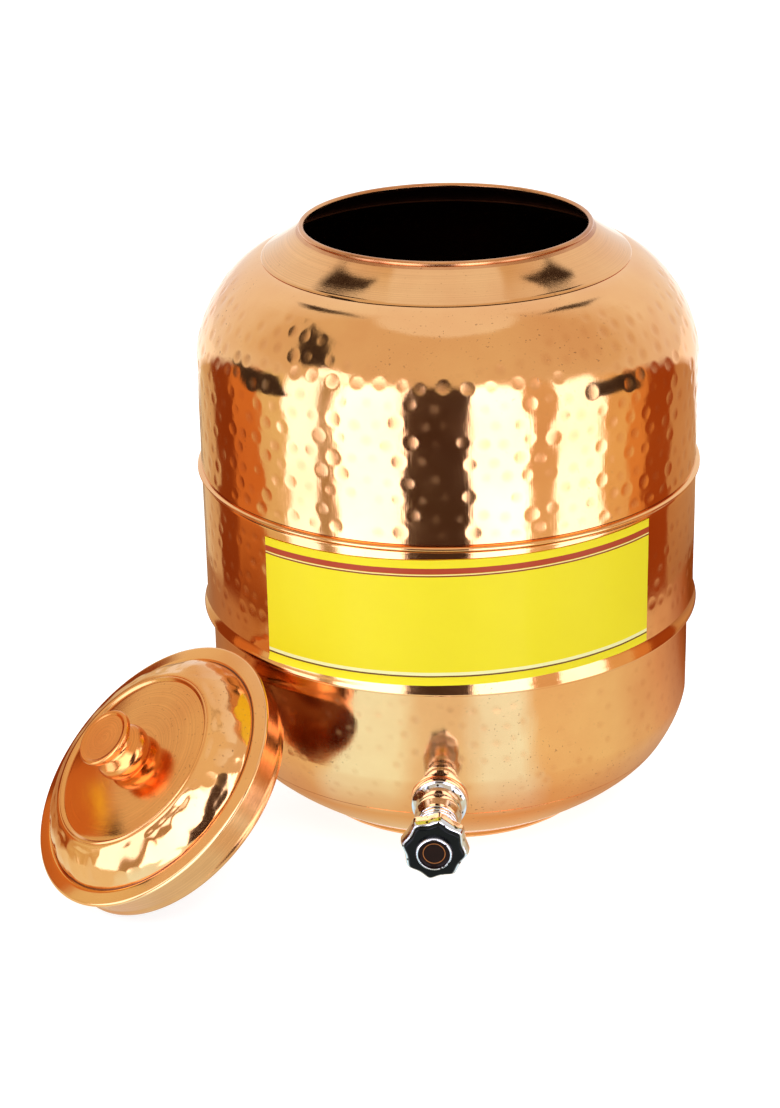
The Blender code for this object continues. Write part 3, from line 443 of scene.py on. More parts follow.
band_line = np.vstack([band_top, band_wall, flare, bead_under,
                       [(BODY_RADIUS - 0.0001, LOWER_BEAD_Z - 0.0016),
                        (BODY_RADIUS - 0.0003, LOWER_BEAD_Z - 0.0021)]])
band_run = np.arange(len(band_line)) * BAND_SPACING
band_round = wall_angle * BODY_RADIUS
band_length = 2.0 * math.pi * BODY_RADIUS
band_marks = hammer_marks(band_run, band_round, band_length, (0.0092, 0.0100), 0.0058, BAND_MARK_DEPTH, 21,
                          0.80, 0.12)
band_wave = ripple(band_run, wall_angle, 22, 0.00010, length=0.045)
band_mask = faded(len(band_line), len(band_top) + 1, len(band_top) + len(band_wall) - 1)
middle_band = hammered_shell("middle_band_skin", band_line,
                             (band_marks + band_wave - band_wave.min()) * band_mask,
                             np.clip(band_marks / (2.0 * BAND_MARK_DEPTH), 0.0, 1.0) * band_mask)
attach(middle_band, "pot")
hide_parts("middle_band")


# Upper shell. Upper wall and shoulder, spun from one sheet and hammered all round,
# but for a plain polished field high in front. Its foot is rolled into a slim bead.
SHOULDER_Z = 0.2680
SHOULDER_TOP = np.array([0.10046, 0.32143])
SHOULDER_FULLNESS = 1.60
MARKS_TOP_Z = 0.3130
MARK_DEPTH = 0.00018
PLAIN_EDGE_Z = 0.3125
PLAIN_FOOT_ROWS = 15
arc = np.linspace(0.0, math.pi / 2, 600)
out_share = np.sin(arc) ** (2 / SHOULDER_FULLNESS)
up_share = np.cos(arc) ** (2 / SHOULDER_FULLNESS)
shoulder = np.stack([SHOULDER_TOP[0] + (BODY_RADIUS - SHOULDER_TOP[0]) * out_share,
                     SHOULDER_Z + (SHOULDER_TOP[1] - SHOULDER_Z) * up_share], axis=1)
plain_part = shoulder[shoulder[:, 1] > MARKS_TOP_Z]
shoulder_line = np.vstack([even_curve(plain_part, 0.0028), even_curve(shoulder[len(plain_part):], 0.00130)])
upper_wall = even_line([(BODY_RADIUS, SHOULDER_Z - 0.0012), (BODY_RADIUS, UPPER_BEAD_Z + 0.0022)], 0.00120)
upper_line = np.vstack([[(0.0955, 0.3248)], shoulder_line, upper_wall,
                        [(BODY_RADIUS - 0.0006, UPPER_BEAD_Z + 0.0016)],
                        bead_line(BODY_RADIUS, UPPER_BEAD_Z, 0.0026, 0.0022)])
upper_step = np.linalg.norm(np.diff(upper_line, axis=0), axis=1)
upper_run = np.concatenate([[0.0], np.cumsum(upper_step)])
upper_marks = hammer_marks(upper_run, band_round, band_length, (0.0100, 0.0124), 0.0074, MARK_DEPTH, 31, 0.93,
                           0.16)
upper_wave = ripple(upper_run, wall_angle, 32, 0.00011)
from_front = (wall_angle + 0.5 * math.pi + math.pi) % (2.0 * math.pi) - math.pi
marks_edge = PLAIN_EDGE_Z - 0.0200 * np.exp(-(from_front / 0.36) ** 2)
marks_edge = marks_edge + 0.0020 * np.cos(9.0 * wall_angle + 1.0)
rows_left = len(upper_line) - np.arange(len(upper_line))[:, None]
hammered = np.clip((marks_edge[None, :] - upper_line[:, 1:]) / 0.0030, 0.0, 1.0)
hammered *= np.clip((rows_left - PLAIN_FOOT_ROWS - 1) / 3.0, 0.0, 1.0)
waved = np.clip(upper_run / 0.030, 0.0, 1.0)[:, None] * (0.35 + 0.65 * hammered)
waved *= np.clip((rows_left - PLAIN_FOOT_ROWS) / 4.0, 0.0, 1.0)
upper_shell = hammered_shell("upper_shell_skin", upper_line,
                             upper_marks * hammered + (upper_wave - upper_wave.min()) * waved,
                             np.clip(upper_marks / (2.0 * MARK_DEPTH), 0.0, 1.0) * hammered)
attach(upper_shell, "pot")
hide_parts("upper_shell")


# Neck collar. A spun cone that laps over the shoulder, with lathe lines left by
# the polishing wheel and its top edge rolled round a wire to make the lip.
NECK_FOOT = np.array([0.1012, 0.3225])
MOUTH = np.array([0.0795, 0.3375])
LIP_RADIUS = 0.00153


def turned_copper(name, fleck=0.3, smooth=0.12, lines=0.35, bright=COPPER_BRIGHT, deep=COPPER_DEEP):
    """Copper finished on a lathe: the shared skin, with fine rings that follow the piece's own
    UV map, as a bump and as a slight change of colour from ring to ring."""
    material = copper_finish(name, fleck, smooth, 0.08, bright, deep)
    tree = material.node_tree
    skin = next(node for node in tree.nodes if node.type == "GROUP").outputs
    run = add_node(tree, "ShaderNodeUVMap", uv_map="run").outputs["UV"]
    stretch = add_node(tree, "ShaderNodeMapping", {"Vector": run, "Scale": (1.2, 260.0, 1.0)})
    rings = noise(tree, stretch.outputs["Vector"], 1.0, 4.0, 0.7)
    shade = ranged(tree, rings, 0.35, 0.65, 0.82, 1.05)
    give(tree, tree.nodes["Principled BSDF"],
         {"Base Color": blended(tree, 1.0, skin["Color"], shade, "MULTIPLY"),
          "Normal": bumped(tree, rings, lines, 0.00008, skin["Normal"])})
    return material


neck_copper = turned_copper("neck_copper", fleck=0.45, smooth=0.035, lines=0.06)
slope = (MOUTH - NECK_FOOT) / np.linalg.norm(MOUTH - NECK_FOOT)
across = np.array([slope[1], -slope[0]])
lip_turn = np.radians(np.linspace(255.0, -35.0, 19))
lip = MOUTH + LIP_RADIUS * np.stack([np.cos(lip_turn), np.sin(lip_turn)], axis=1)
cone_share = np.linspace(0.0, 1.0, 24)[1:, None]
cone = lip[-1] + (NECK_FOOT - lip[-1]) * cone_share
cone -= across * (0.0004 * np.sin(cone_share * math.pi))
lap = cone[-1] + np.array([(0.00035, -0.00030), (0.00062, -0.00062), (0.00080, -0.00098)])
neck_outline = np.vstack([lip, cone, lap, even_line([lap[-1] - (0.0016, 0.0), cone[-1] - across * SHEET * 1.4,
                                                     lip[-1] - across * 0.0007], 0.003)])
lip_copper = turned_copper("lip_copper", fleck=1.0, smooth=0.20, lines=0.30, bright=(0.80, 0.42, 0.19, 1.0),
                           deep=(0.52, 0.20, 0.08, 1.0))
neck_collar = turned("neck_collar_skin", neck_outline, 480, [lip_copper, neck_copper, inside_copper],
                     inside=(len(lip) + 1, len(lip) + len(cone) + len(lap)))
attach(neck_collar, "pot")
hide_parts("neck_collar")


# Label. A printed yellow sheet stuck round the front of the middle band, with plain
# coloured borders along its top and its foot.
LABEL_RADIUS = 0.1403
LABEL_THICKNESS = 0.0004
LABEL_LOW, LABEL_HIGH = 0.1255, 0.1975
LABEL_START, LABEL_END = math.radians(-90.0 - 41.6), math.radians(-90.0 + 52.5)
LABEL_DROP = 0.0042
label_inks = ((0.640, 0.673, (0.44, 0.050, 0.012, 1.0)), (0.633, 0.638, (0.93, 0.75, 0.40, 1.0)),
              (0.624, 0.632, (0.26, 0.030, 0.010, 1.0)), (0.056, 0.074, (0.95, 0.90, 0.45, 1.0)),
              (0.046, 0.055, (0.14, 0.045, 0.012, 1.0)))


def label_print():
    """Printed paper: yellow ground, a red band with a fine pale edge near the top, and a pale and
    a dark rule near the foot, placed by the sheet's own UV map in millimetres / 100."""
    material, tree, shader = blank_finish("label_print")
    run = add_node(tree, "ShaderNodeUVMap", uv_map="run").outputs["UV"]
    height = add_node(tree, "ShaderNodeSeparateXYZ", {"Vector": run}).outputs["Y"]
    paper = noise(tree, run, 3.0, 5.0)
    colour = blended(tree, paper, (0.93, 0.79, 0.010, 1.0), (0.89, 0.73, 0.007, 1.0))
    for low, high, ink in label_inks:
        inked = joined(tree, joined(tree, height, low, "GREATER_THAN"),
                       joined(tree, height, high, "LESS_THAN"))
        colour = blended(tree, inked, colour, ink)
    give(tree, shader, {"Base Color": colour, "Roughness": ranged(tree, paper, 0.0, 1.0, 0.38, 0.52),
                        "Specular IOR Level": 0.22, "Coat Weight": 0.06, "Coat Roughness": 0.22,
                        "Normal": bumped(tree, noise(tree, run, 14.0, 3.0), 0.25, 0.0002)})
    return material


def label_sheet():
    """A thin bent sheet: a loop of points (front upwards, back downwards) carried round an arc,
    with a slight wave in the paper and in its cut edges. It is stuck on a little slanted, and its
    low left corner lies out over the flare of the bead."""
    columns, rows = 150, 30
    angle = np.linspace(LABEL_START, LABEL_END, columns)[:, None]
    share = np.linspace(0.0, 1.0, rows)
    share = np.concatenate([share, share[::-1]])[None, :]
    front = np.concatenate([np.ones(rows), np.zeros(rows)])[None, :]
    wave = 0.00003 * (np.cos(31.0 * angle) + np.cos(47.0 * angle + 5.0 * share)
                      + np.sin(13.0 * share + 22.0 * angle))
    cut = 0.00010 * np.cos(9.0 * angle + 1.0) * share + 0.00016 * np.cos(6.0 * angle) * (1.0 - share)
    flat_height = LABEL_LOW + 0.00016 + (LABEL_HIGH - LABEL_LOW - 0.0003) * share + cut
    height = flat_height - LABEL_DROP * (0.80 - (angle - LABEL_START) / (LABEL_END - LABEL_START))
    over_flare = np.clip((FLARE_TOP_Z - height) / (FLARE_TOP_Z - LOWER_BEAD_Z - 0.0010), 0.0, 1.0)
    radius = LABEL_RADIUS + 0.00008 + front * (LABEL_THICKNESS - 0.00017) + wave + BEAD_REACH * over_flare
    points = np.stack([radius * np.cos(angle), radius * np.sin(angle), height + 0.0 * angle], axis=-1)
    size = 2 * rows
    faces = grid_faces(columns, size, rows_close=False)[0]
    run = (angle - LABEL_START) * LABEL_RADIUS * 10.0 + 0.0 * share
    rise = (flat_height - LABEL_LOW) * 10.0
    flat = np.stack([run, rise], axis=-1).reshape(-1, 2)
    k = np.arange(rows - 1)
    start = np.stack([k, k + 1, size - 2 - k, size - 1 - k], axis=-1)
    end = start[:, ::-1] + (columns - 1) * size
    faces = np.vstack([faces, start, end])
    return grid_mesh("label_skin", points.reshape(-1, 3), faces, flat[faces].reshape(-1, 2),
                     [label_print()], sharp=50.0)


label = label_sheet()
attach(label, "pot")
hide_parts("label")


# Tap fixings. A copper ring carries the tap square to the sloping wall; the shank
# goes through it, and a wedge washer and brass nut clamp it from inside.
TAP_FACE_Y = -0.1378
TAP_Z = 0.0525
tap_place = np.array([[1.0, 0.0, 0.0, 0.0],
                      [0.0, 0.0, -1.0, TAP_FACE_Y],
                      [0.0, 1.0, 0.0, TAP_Z],
                      [0.0, 0.0, 0.0, 1.0]])


def eased(points, reach, count=5):
    """Rounds each corner of an outline with a quadratic curve that starts `reach` before it."""
    points = np.asarray(points, float)
    rounded = [points[:1]]
    for before, corner, after in zip(points[:-2], points[1:-1], points[2:]):
        back, ahead = before - corner, after - corner
        cut = min(reach, 0.45 * np.linalg.norm(back), 0.45 * np.linalg.norm(ahead))
        start = corner + back / np.linalg.norm(back) * cut
        end = corner + ahead / np.linalg.norm(ahead) * cut
        t = np.linspace(0.0, 1.0, count)[:, None]
        rounded.append((1 - t) ** 2 * start + 2 * t * (1 - t) * corner + t ** 2 * end)
    return np.vstack(rounded + [points[-1:]])


def boss_ring():
    """The ring's front is flat; its back at angle a follows the wall: y = -sqrt(r(z)^2 - x^2)."""
    spokes = 96
    angle = full_turn(spokes)
    profile = np.array([(0.0074, -0.0002), (0.0144, 0.0), (0.0151, -0.0001), (0.0155, -0.0003),
                        (0.0156, -0.0006), (0.0156, 0.0), (0.0074, 0.0)])
    x = profile[:, :1] * np.cos(angle)
    z = profile[:, :1] * np.sin(angle) + TAP_Z
    y = TAP_FACE_Y - profile[:, 1:] + 0.0 * angle
    wall = np.where(z[-2:] > CORNER_HEIGHT, LOWER_RADIUS, corner_radius(z[-2:]))
    y[-2:] = -np.sqrt(wall ** 2 - x[-2:] ** 2) + 0.0004
    faces = grid_faces(len(profile), spokes)[0]
    flat = np.stack([np.tile(angle, len(profile)), np.repeat(np.arange(len(profile)) * 0.01, spokes)],
                    axis=-1)
    return grid_mesh("tap_boss_ring", np.stack([x, y, z], axis=-1).reshape(-1, 3), faces,
                     flat[faces].reshape(-1, 2), [boss_copper])


boss_copper = turned_copper("boss_copper", fleck=0.2, smooth=0.16, lines=0.2,
                            bright=(0.84, 0.36, 0.15, 1.0), deep=(0.70, 0.24, 0.09, 1.0))
tap_boss = boss_ring()
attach(tap_boss, "pot")
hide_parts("tap_boss")


def plain_finish(name, colour, other, metallic, low, high, scale, bump_strength=0.1, bump_scale=900.0):
    """A finish whose colour and roughness drift between two values, with a fine bump."""
    material, tree, shader = blank_finish(name)
    place = add_node(tree, "ShaderNodeTexCoord").outputs["Object"]
    drift = noise(tree, place, scale, 4.0)
    give(tree, shader, {"Metallic": metallic, "Base Color": blended(tree, drift, colour, other),
                        "Roughness": ranged(tree, drift, 0.3, 0.7, low, high),
                        "Normal": bumped(tree, noise(tree, place, bump_scale, 3.0), bump_strength, 0.0001)})
    return material


def redress(finish, *nodes):
    """Gives carried-over solids one finish in place of their plain one."""
    for node in nodes:
        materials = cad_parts[node].data.materials
        materials.clear()
        materials.append(finish)


rubber = plain_finish("seal_rubber", (0.030, 0.029, 0.028, 1.0), (0.045, 0.043, 0.040, 1.0), 0.0,
                      0.55, 0.75, 300.0, 0.3)
brass = plain_finish("cut_brass", (0.76, 0.56, 0.24, 1.0), (0.66, 0.46, 0.18, 1.0), 1.0, 0.22, 0.36, 250.0)
redress(rubber, "tap_gasket", "tap_wedge_washer", "bonnet_seal", "gland_packing", "valve_washer")
redress(brass, "tap_back_nut", "valve_jumper", "valve_washer_screw", "tap_spindle", "knob_screw",
        "lid_knob_screw")


# Tap body. One chromed brass casting: flange, barrel and spout. The plating has
# small pits, and it picks up the copper round it.
def overlaid(material, mask, colour):
    """Lays one colour over a finish's own where the mask is 1."""
    tree = material.node_tree
    base = tree.nodes["Principled BSDF"].inputs["Base Color"]
    tree.links.new(blended(tree, mask, base.links[0].from_socket, colour), base)
    return material


def object_place(material):
    """The object coordinates that a finish already uses."""
    return next(node for node in material.node_tree.nodes if node.type == "TEX_COORD").outputs["Object"]


def chrome_finish(name, low=0.06, high=0.16):
    """Bright plating with a slow drift in its gloss and a few small dark pits."""
    material = plain_finish(name, (0.77, 0.77, 0.79, 1.0), (0.57, 0.56, 0.57, 1.0), 1.0, low, high, 160.0,
                            0.08, 700.0)
    tree = material.node_tree
    spots = add_node(tree, "ShaderNodeTexVoronoi", {"Vector": object_place(material), "Scale": 260.0})
    pits = ranged(tree, spots.outputs["Distance"], 0.24, 0.17)
    return overlaid(material, pits, (0.06, 0.045, 0.035, 1.0))


chrome = chrome_finish("tap_chrome")
barrel_points = [(0.0084, 0.0246), (0.0098, 0.0250), (0.0109, 0.0247), (0.0112, 0.0225), (0.0126, 0.0176),
                 (0.0127, 0.0160), (0.0126, 0.0148), (0.0117, 0.0138), (0.0114, 0.0112), (0.0116, 0.0086),
                 (0.0124, 0.0062), (0.0138, 0.0044), (0.0149, 0.0036), (0.0150, 0.0028), (0.0150, 0.0006),
                 (0.0148, 0.0003), (0.0070, 0.0003), (0.0070, -0.0275), (0.0042, -0.0275), (0.0042, 0.0067),
                 (0.0084, 0.0067), (0.0084, 0.0246)]
tap_barrel = turned("tap_barrel", eased(barrel_points, 0.0006)[:-1], 128, [chrome], place=tap_place)
spout_place = np.eye(4)
spout_place[:3, 3] = 0.0, TAP_FACE_Y - 0.0156, TAP_Z
spout_points = [(0.0074, -0.0070), (0.0094, -0.0088), (0.0077, -0.0112), (0.0069, -0.0140), (0.0068, -0.0240),
                (0.0075, -0.0252), (0.0076, -0.0278), (0.0072, -0.0285), (0.0052, -0.0285), (0.0048, -0.0278),
                (0.0048, -0.0070), (0.0074, -0.0070)]
tap_spout = turned("tap_spout", eased(spout_points, 0.0006)[:-1], 96, [chrome], place=spout_place)
for piece in (tap_barrel, tap_spout):
    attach(piece, "pot")
    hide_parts("tap_body")


# Tap head. The bonnet screws into the barrel over a seal, and the gland nut over
# it presses the packing round the spindle. Both are turned and chromed.
bonnet_points = [(0.0065, 0.0326), (0.0092, 0.0326), (0.0104, 0.0324), (0.0108, 0.0316), (0.0114, 0.0312),
                 (0.0115, 0.0300), (0.0109, 0.0294), (0.0108, 0.0290), (0.0114, 0.0285), (0.0115, 0.0272),
                 (0.0111, 0.0264), (0.0080, 0.0264), (0.0080, 0.0164), (0.0054, 0.0164), (0.0054, 0.0275),
                 (0.0036, 0.0275), (0.0036, 0.0295), (0.0065, 0.0295), (0.0065, 0.0326)]
gland_points = [(0.0036, 0.0387), (0.0058, 0.0387), (0.0064, 0.0384), (0.0070, 0.0366), (0.0078, 0.0360),
                (0.0094, 0.0357), (0.0096, 0.0350), (0.0096, 0.0334), (0.0094, 0.0329), (0.0036, 0.0329),
                (0.0036, 0.0387)]
bonnet = turned("bonnet_skin", eased(bonnet_points, 0.0004)[:-1], 128, [chrome], place=tap_place)
gland = turned("gland_skin", eased(gland_points, 0.0004)[:-1], 96, [chrome], place=tap_place)
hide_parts("tap_bonnet")
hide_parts("gland_nut")
for piece in (bonnet, gland):
    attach(piece, "pot")


# Knob. A chromed star with eight lobes and a glossy black face, pushed on the
# spindle and held by a screw under its cap. Its face turns with the spindle.
KNOB_RADIUS = 0.0184
KNOB_LOBES = 8
KNOB_TURN = math.radians(80.7)
KNOB_SCALLOP = 0.0017


def star_solid(name, rings, spokes, finishes, place):
    """A lobed solid: r = ring radius - scallop x share x rounded |sin(4 a)|, closed ring to ring.
    Each ring is (radius, share of the scallop, height)."""
    rings = np.asarray(rings, float)
    angle = full_turn(spokes)
    hollow = (np.sqrt(np.sin(angle * KNOB_LOBES / 2) ** 2 + 0.06) - 0.245) / 0.785
    radius = rings[:, :1] - KNOB_SCALLOP * rings[:, 1:2] * hollow
    turn = angle + KNOB_TURN
    points = np.stack([radius * np.cos(turn), radius * np.sin(turn), rings[:, 2:] + 0.0 * radius], axis=-1)
    points = points.reshape(-1, 3) @ place[:3, :3].T + place[:3, 3]
    faces, i, j = grid_faces(len(rings), spokes)
    uv = np.stack([j, i, j, i + 1, j + 1, i + 1, j + 1, i], axis=-1) * 0.01
    return grid_mesh(name, points, faces, uv, finishes, sharp=34.0)


def lobed(shares, thick_from, thick_to):
    """Rings down the side of the star: each share is (height, reach), eased at its corners."""
    line = eased([(KNOB_RADIUS * reach, thick_from + (thick_to - thick_from) * along)
                  for along, reach in shares], 0.0010)
    return [(radius, 1.0, height) for radius, height in line]


knob_chrome = chrome_finish("knob_chrome", 0.08, 0.20)
knob_black = plain_finish("knob_black", (0.004, 0.005, 0.006, 1.0), (0.007, 0.008, 0.009, 1.0), 0.0,
                          0.06, 0.16, 140.0, 0.05)
knob_black.node_tree.nodes["Principled BSDF"].inputs["Specular IOR Level"].default_value = 0.12
knob_side = lobed([(1.0, 0.90), (0.95, 0.935), (0.65, 0.985), (0.15, 1.00), (0.0, 0.93)], 0.0434, 0.0531)
knob_rings = ([(0.0036, 0.0, 0.0531), (0.0120, 0.3, 0.0531)] + knob_side
              + [(0.0120, 0.3, 0.0434), (0.0082, 0.0, 0.0434), (0.0078, 0.0, 0.0430), (0.0078, 0.0, 0.0397),
                 (0.0075, 0.0, 0.0395), (0.0036, 0.0, 0.0395)])
knob = star_solid("knob_star", knob_rings, 256, [knob_chrome], tap_place)
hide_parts("tap_knob")
face_side = lobed([(1.0, 0.790), (0.98, 0.825), (0.55, 0.865), (0.05, 0.88), (0.0, 0.87)], 0.0534, 0.0552)
face_rings = ([(0.0048, 0.0, 0.0552), (0.0086, 0.0, 0.0552), (0.0110, 0.4, 0.0552)] + face_side
              + [(0.0110, 0.4, 0.0534), (0.0048, 0.0, 0.0534)])
knob_face = star_solid("knob_face_skin", face_rings, 256, [knob_black], tap_place)
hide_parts("knob_face")
for piece in (knob, knob_face):
    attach(piece, "handle")


# Knob cap. A chromed ring with a milled edge round a dark disc that has one fine
# turned circle. The ring hides the screw that holds the knob.
def milled_ring():
    """A ring whose outer edge is cut into fine teeth: r + tooth x triangle wave round the rim."""
    teeth, spokes = 60, 480
    outline = eased([(0.0083, 0.0555), (0.0083, 0.0577), (0.0085, 0.0581), (0.0088, 0.0579), (0.0091, 0.0574),
                     (0.0094, 0.0568), (0.0096, 0.0555), (0.0083, 0.0555)], 0.0002)[:-1][::-1]
    wave = np.abs(((full_turn(spokes) * teeth / (2.0 * math.pi)) % 1.0) - 0.5) * 2.0
    rim = np.clip((outline[:, 0] - 0.0088) / 0.0003, 0.0, 1.0)[:, None]
    press = 0.00040 * wave[None, :] * rim
    return turned("cap_ring_skin", outline, spokes, [knob_chrome], press=press, place=tap_place)


def badge_face():
    """Dark lacquer with one fine copper circle, drawn by distance from the disc's centre."""
    material = plain_finish("badge_lacquer", (0.012, 0.005, 0.004, 1.0), (0.020, 0.007, 0.005, 1.0), 0.0,
                            0.25, 0.38, 200.0, 0.05)
    tree = material.node_tree
    centred = add_node(tree, "ShaderNodeMapping", {"Vector": object_place(material),
                                                   "Location": (0.0, 0.0, -TAP_Z)})
    split = add_node(tree, "ShaderNodeSeparateXYZ", {"Vector": centred.outputs["Vector"]}).outputs
    flat = add_node(tree, "ShaderNodeCombineXYZ", {"X": split["X"], "Y": split["Z"]}).outputs["Vector"]
    away = add_node(tree, "ShaderNodeVectorMath", {0: flat}, operation="LENGTH").outputs["Value"]
    circle = joined(tree, joined(tree, away, 0.0056, "GREATER_THAN"), joined(tree, away, 0.0059, "LESS_THAN"))
    give(tree, tree.nodes["Principled BSDF"], {"Specular IOR Level": 0.10})
    return overlaid(material, circle, (0.62, 0.22, 0.06, 1.0))


cap_ring = milled_ring()
badge_outline = np.array([(0.0, 0.0566), (0.0030, 0.0566), (0.0060, 0.0565), (0.0078, 0.0564),
                          (0.0082, 0.0562), (0.0082, 0.0555), (0.0, 0.0555)])
badge = turned("badge_skin", badge_outline, 96, [badge_face()], place=tap_place, loop=False)
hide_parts("knob_cap_ring")
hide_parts("knob_badge")
for piece in (cap_ring, badge):
    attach(piece, "handle")


# Lid cover. A pressed and hammered copper cover, off the pot and leaning on it:
# rolled edge, valley, hammered shoulder, a double step, and a spun inner dish.
LID_TILT = math.radians(42.2)
LID_AZIMUTH = math.radians(-145.3)
LID_CENTRE = np.array([-0.156788, -0.134859, 0.065662])
LID_RISE = 0.0035
LID_DOME = 0.0015
LID_SPOKES = 480
LID_MARK_RADIUS = 0.060


def about_z(angle):
    """A turn by an angle about the upright axis, as a 3 x 3 matrix."""
    return np.array([[math.cos(angle), -math.sin(angle), 0.0], [math.sin(angle), math.cos(angle), 0.0],
                     [0.0, 0.0, 1.0]])


tilt = np.array([[math.cos(LID_TILT), 0.0, math.sin(LID_TILT)], [0.0, 1.0, 0.0],
                 [-math.sin(LID_TILT), 0.0, math.cos(LID_TILT)]])
lid_place = np.eye(4)
lid_place[:3, :3] = about_z(LID_AZIMUTH) @ tilt
lid_place[:3, 3] = LID_CENTRE
lid_copper = copper_finish("lid_copper", fleck=0.6, smooth=0.08, marks=0.12)
lid_inside = copper_finish("lid_inside", fleck=0.6, smooth=0.20, marks=0.3, bright=(0.26, 0.08, 0.03, 1.0),
                           deep=(0.14, 0.04, 0.016, 1.0))
lid_turned = turned_copper("lid_turned", fleck=0.5, smooth=0.08, lines=0.26, bright=(0.86, 0.44, 0.17, 1.0),
                           deep=(0.78, 0.35, 0.13, 1.0))

crown = 0.0138
dish = [(0.0022, crown), (0.0150, crown - 0.0001), (0.0235, crown - 0.0003), (0.0300, crown - 0.0005),
        (0.0380, crown - 0.0008), (0.0455, crown - 0.0011), (0.0464, crown - 0.0013),
        (0.0470, crown - 0.0010), (0.0474, crown - 0.0003), (0.0480, crown), (0.0485, crown - 0.0002),
        (0.0489, crown - 0.0005), (0.0493, crown - 0.0003)]
turn = np.linspace(0.0, math.pi / 2, 300)
lid_shoulder = np.stack([0.0493 + (0.0708 - 0.0493) * np.sin(turn) ** (2 / 1.9),
                         0.0010 + (crown - 0.0003 - 0.0010) * np.cos(turn) ** (2 / 1.9)], axis=1)
lid_dish_line = even_line(dish, 0.0016)
lid_shoulder_line = even_curve(lid_shoulder, 0.0010)[1:]
lid_edge = eased([(0.0708, 0.0010), (0.0713, 0.0012), (0.0722, 0.0021), (0.0735, 0.0021), (0.0780, 0.0015),
                  (0.0795, 0.0013), (0.0802, 0.0009), (0.0806, 0.0004), (0.0806, 0.0)], 0.0004, 4)[1:]
lid_line = np.vstack([lid_dish_line, lid_shoulder_line, lid_edge])
lid_outline = walled(lid_line, SHEET, 0.004)
lid_face = lid_outline[:len(lid_line)]
reach = lid_face[:, 0].copy()
lid_face[:, 1] += np.interp(reach, (0.0, 0.0493, 0.0708), (LID_RISE, LID_RISE, 0.0))
lid_face[:, 1] += LID_DOME * np.clip(1.0 - (reach / 0.0464) ** 2, 0.0, 1.0)
lid_face[:, 0] = np.interp(reach, (0.0, 0.0150, 0.0480, 0.0493, 0.0708, 0.0806),
                           (0.0, 0.0150, 0.0511, 0.0524, 0.0708, 0.0806))
lid_angle = full_turn(LID_SPOKES)
lid_run = np.arange(len(lid_line)) * 0.0010
lid_marks = hammer_marks(lid_run, lid_angle * LID_MARK_RADIUS, 2.0 * math.pi * LID_MARK_RADIUS,
                         (0.0082, 0.0088), 0.0080, 0.00020, 41, 0.80, 0.10, stray=0.85)
lid_wave = ripple(lid_run, lid_angle, 42, 0.00022, rounds=(6, 26))
lid_mask = faded(len(lid_line), len(lid_dish_line) + 1, len(lid_dish_line) + len(lid_shoulder_line) - 1, 4)
lid_press = np.zeros((len(lid_outline), LID_SPOKES))
lid_press[:len(lid_line)] = (lid_marks + lid_wave - lid_wave.min()) * lid_mask
lid_cover = turned("lid_cover_skin", lid_outline, LID_SPOKES, [lid_turned, lid_copper, lid_inside],
                   press=lid_press, place=lid_place, inside=(len(lid_dish_line), len(lid_line)))
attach(lid_cover, "lid")
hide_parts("lid_cover")


# Lid skirt. The plain ring that drops inside the mouth, brazed under the flange;
# the turning tool left bands of fine lines round it.
SKIRT_RADIUS = 0.0758
skirt_line = even_line([(SKIRT_RADIUS - 0.0006, 0.0008), (SKIRT_RADIUS - 0.0006, -0.0165),
                        (SKIRT_RADIUS - 0.0002, -0.0172), (SKIRT_RADIUS, -0.0178),
                        (SKIRT_RADIUS, -0.0192), (SKIRT_RADIUS - 0.0003, -0.0195)], 0.0012)
skirt_outline = walled(skirt_line, SHEET - 0.0002, 0.003)
skirt_copper = turned_copper("skirt_copper", fleck=0.2, smooth=0.14, lines=0.8,
                             bright=(0.76, 0.34, 0.13, 1.0), deep=(0.66, 0.26, 0.09, 1.0))
lid_skirt = turned("lid_skirt_skin", skirt_outline, 360, [skirt_copper], place=lid_place)
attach(lid_skirt, "lid")
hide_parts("lid_skirt")


# Lid knob. Turned from solid copper: round foot, waist and a flat disc on top
# with rings cut in it. A screw from under the cover holds it.
LID_KNOB_RADIUS = 0.0168
LID_KNOB_HEIGHT = 0.0231
lid_knob_shares = ((1.00, 0.945), (0.965, 1.00), (0.86, 1.00), (0.82, 0.94), (0.76, 0.74), (0.69, 0.65),
                   (0.62, 0.67), (0.55, 0.77), (0.46, 0.90), (0.36, 0.965), (0.26, 0.98), (0.16, 0.955),
                   (0.08, 0.90), (0.03, 0.86), (0.0, 0.86))
foot = crown + LID_RISE + 0.0009
knob_top = foot + LID_KNOB_HEIGHT
knob_points = ([(0.0, knob_top - 0.0012), (0.0045, knob_top - 0.0012), (0.0105, knob_top - 0.0010),
                (0.0136, knob_top - 0.0009), (0.0147, knob_top - 0.0002)]
               + [(LID_KNOB_RADIUS * reach, foot + LID_KNOB_HEIGHT * rise) for rise, reach in lid_knob_shares]
               + [(0.0, foot)])
knob_copper = turned_copper("knob_copper", fleck=0.2, smooth=0.13, lines=0.5,
                            bright=(0.88, 0.38, 0.12, 1.0), deep=(0.78, 0.28, 0.08, 1.0))
lid_knob = turned("lid_knob_skin", eased(knob_points, 0.0009, 6), 144, [knob_copper], place=lid_place,
                  loop=False)
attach(lid_knob, "lid")
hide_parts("lid_knob")
redress(lid_copper, "lid_knob_washer")


# Studio floor. A pale sheet under the pot, white to the eye, which keeps the
# soft shadow of the pot and lid.
FLOOR_Z = -0.0002
FLOOR_REACH = 6.0


def seen_directly(tree):
    """1 for rays that come straight from the eye, off a gloss or through glass, and 0 for others."""
    path = add_node(tree, "ShaderNodeLightPath").outputs
    seen = joined(tree, path["Is Camera Ray"], path["Is Glossy Ray"], "MAXIMUM")
    return joined(tree, seen, path["Is Transmission Ray"], "MAXIMUM")


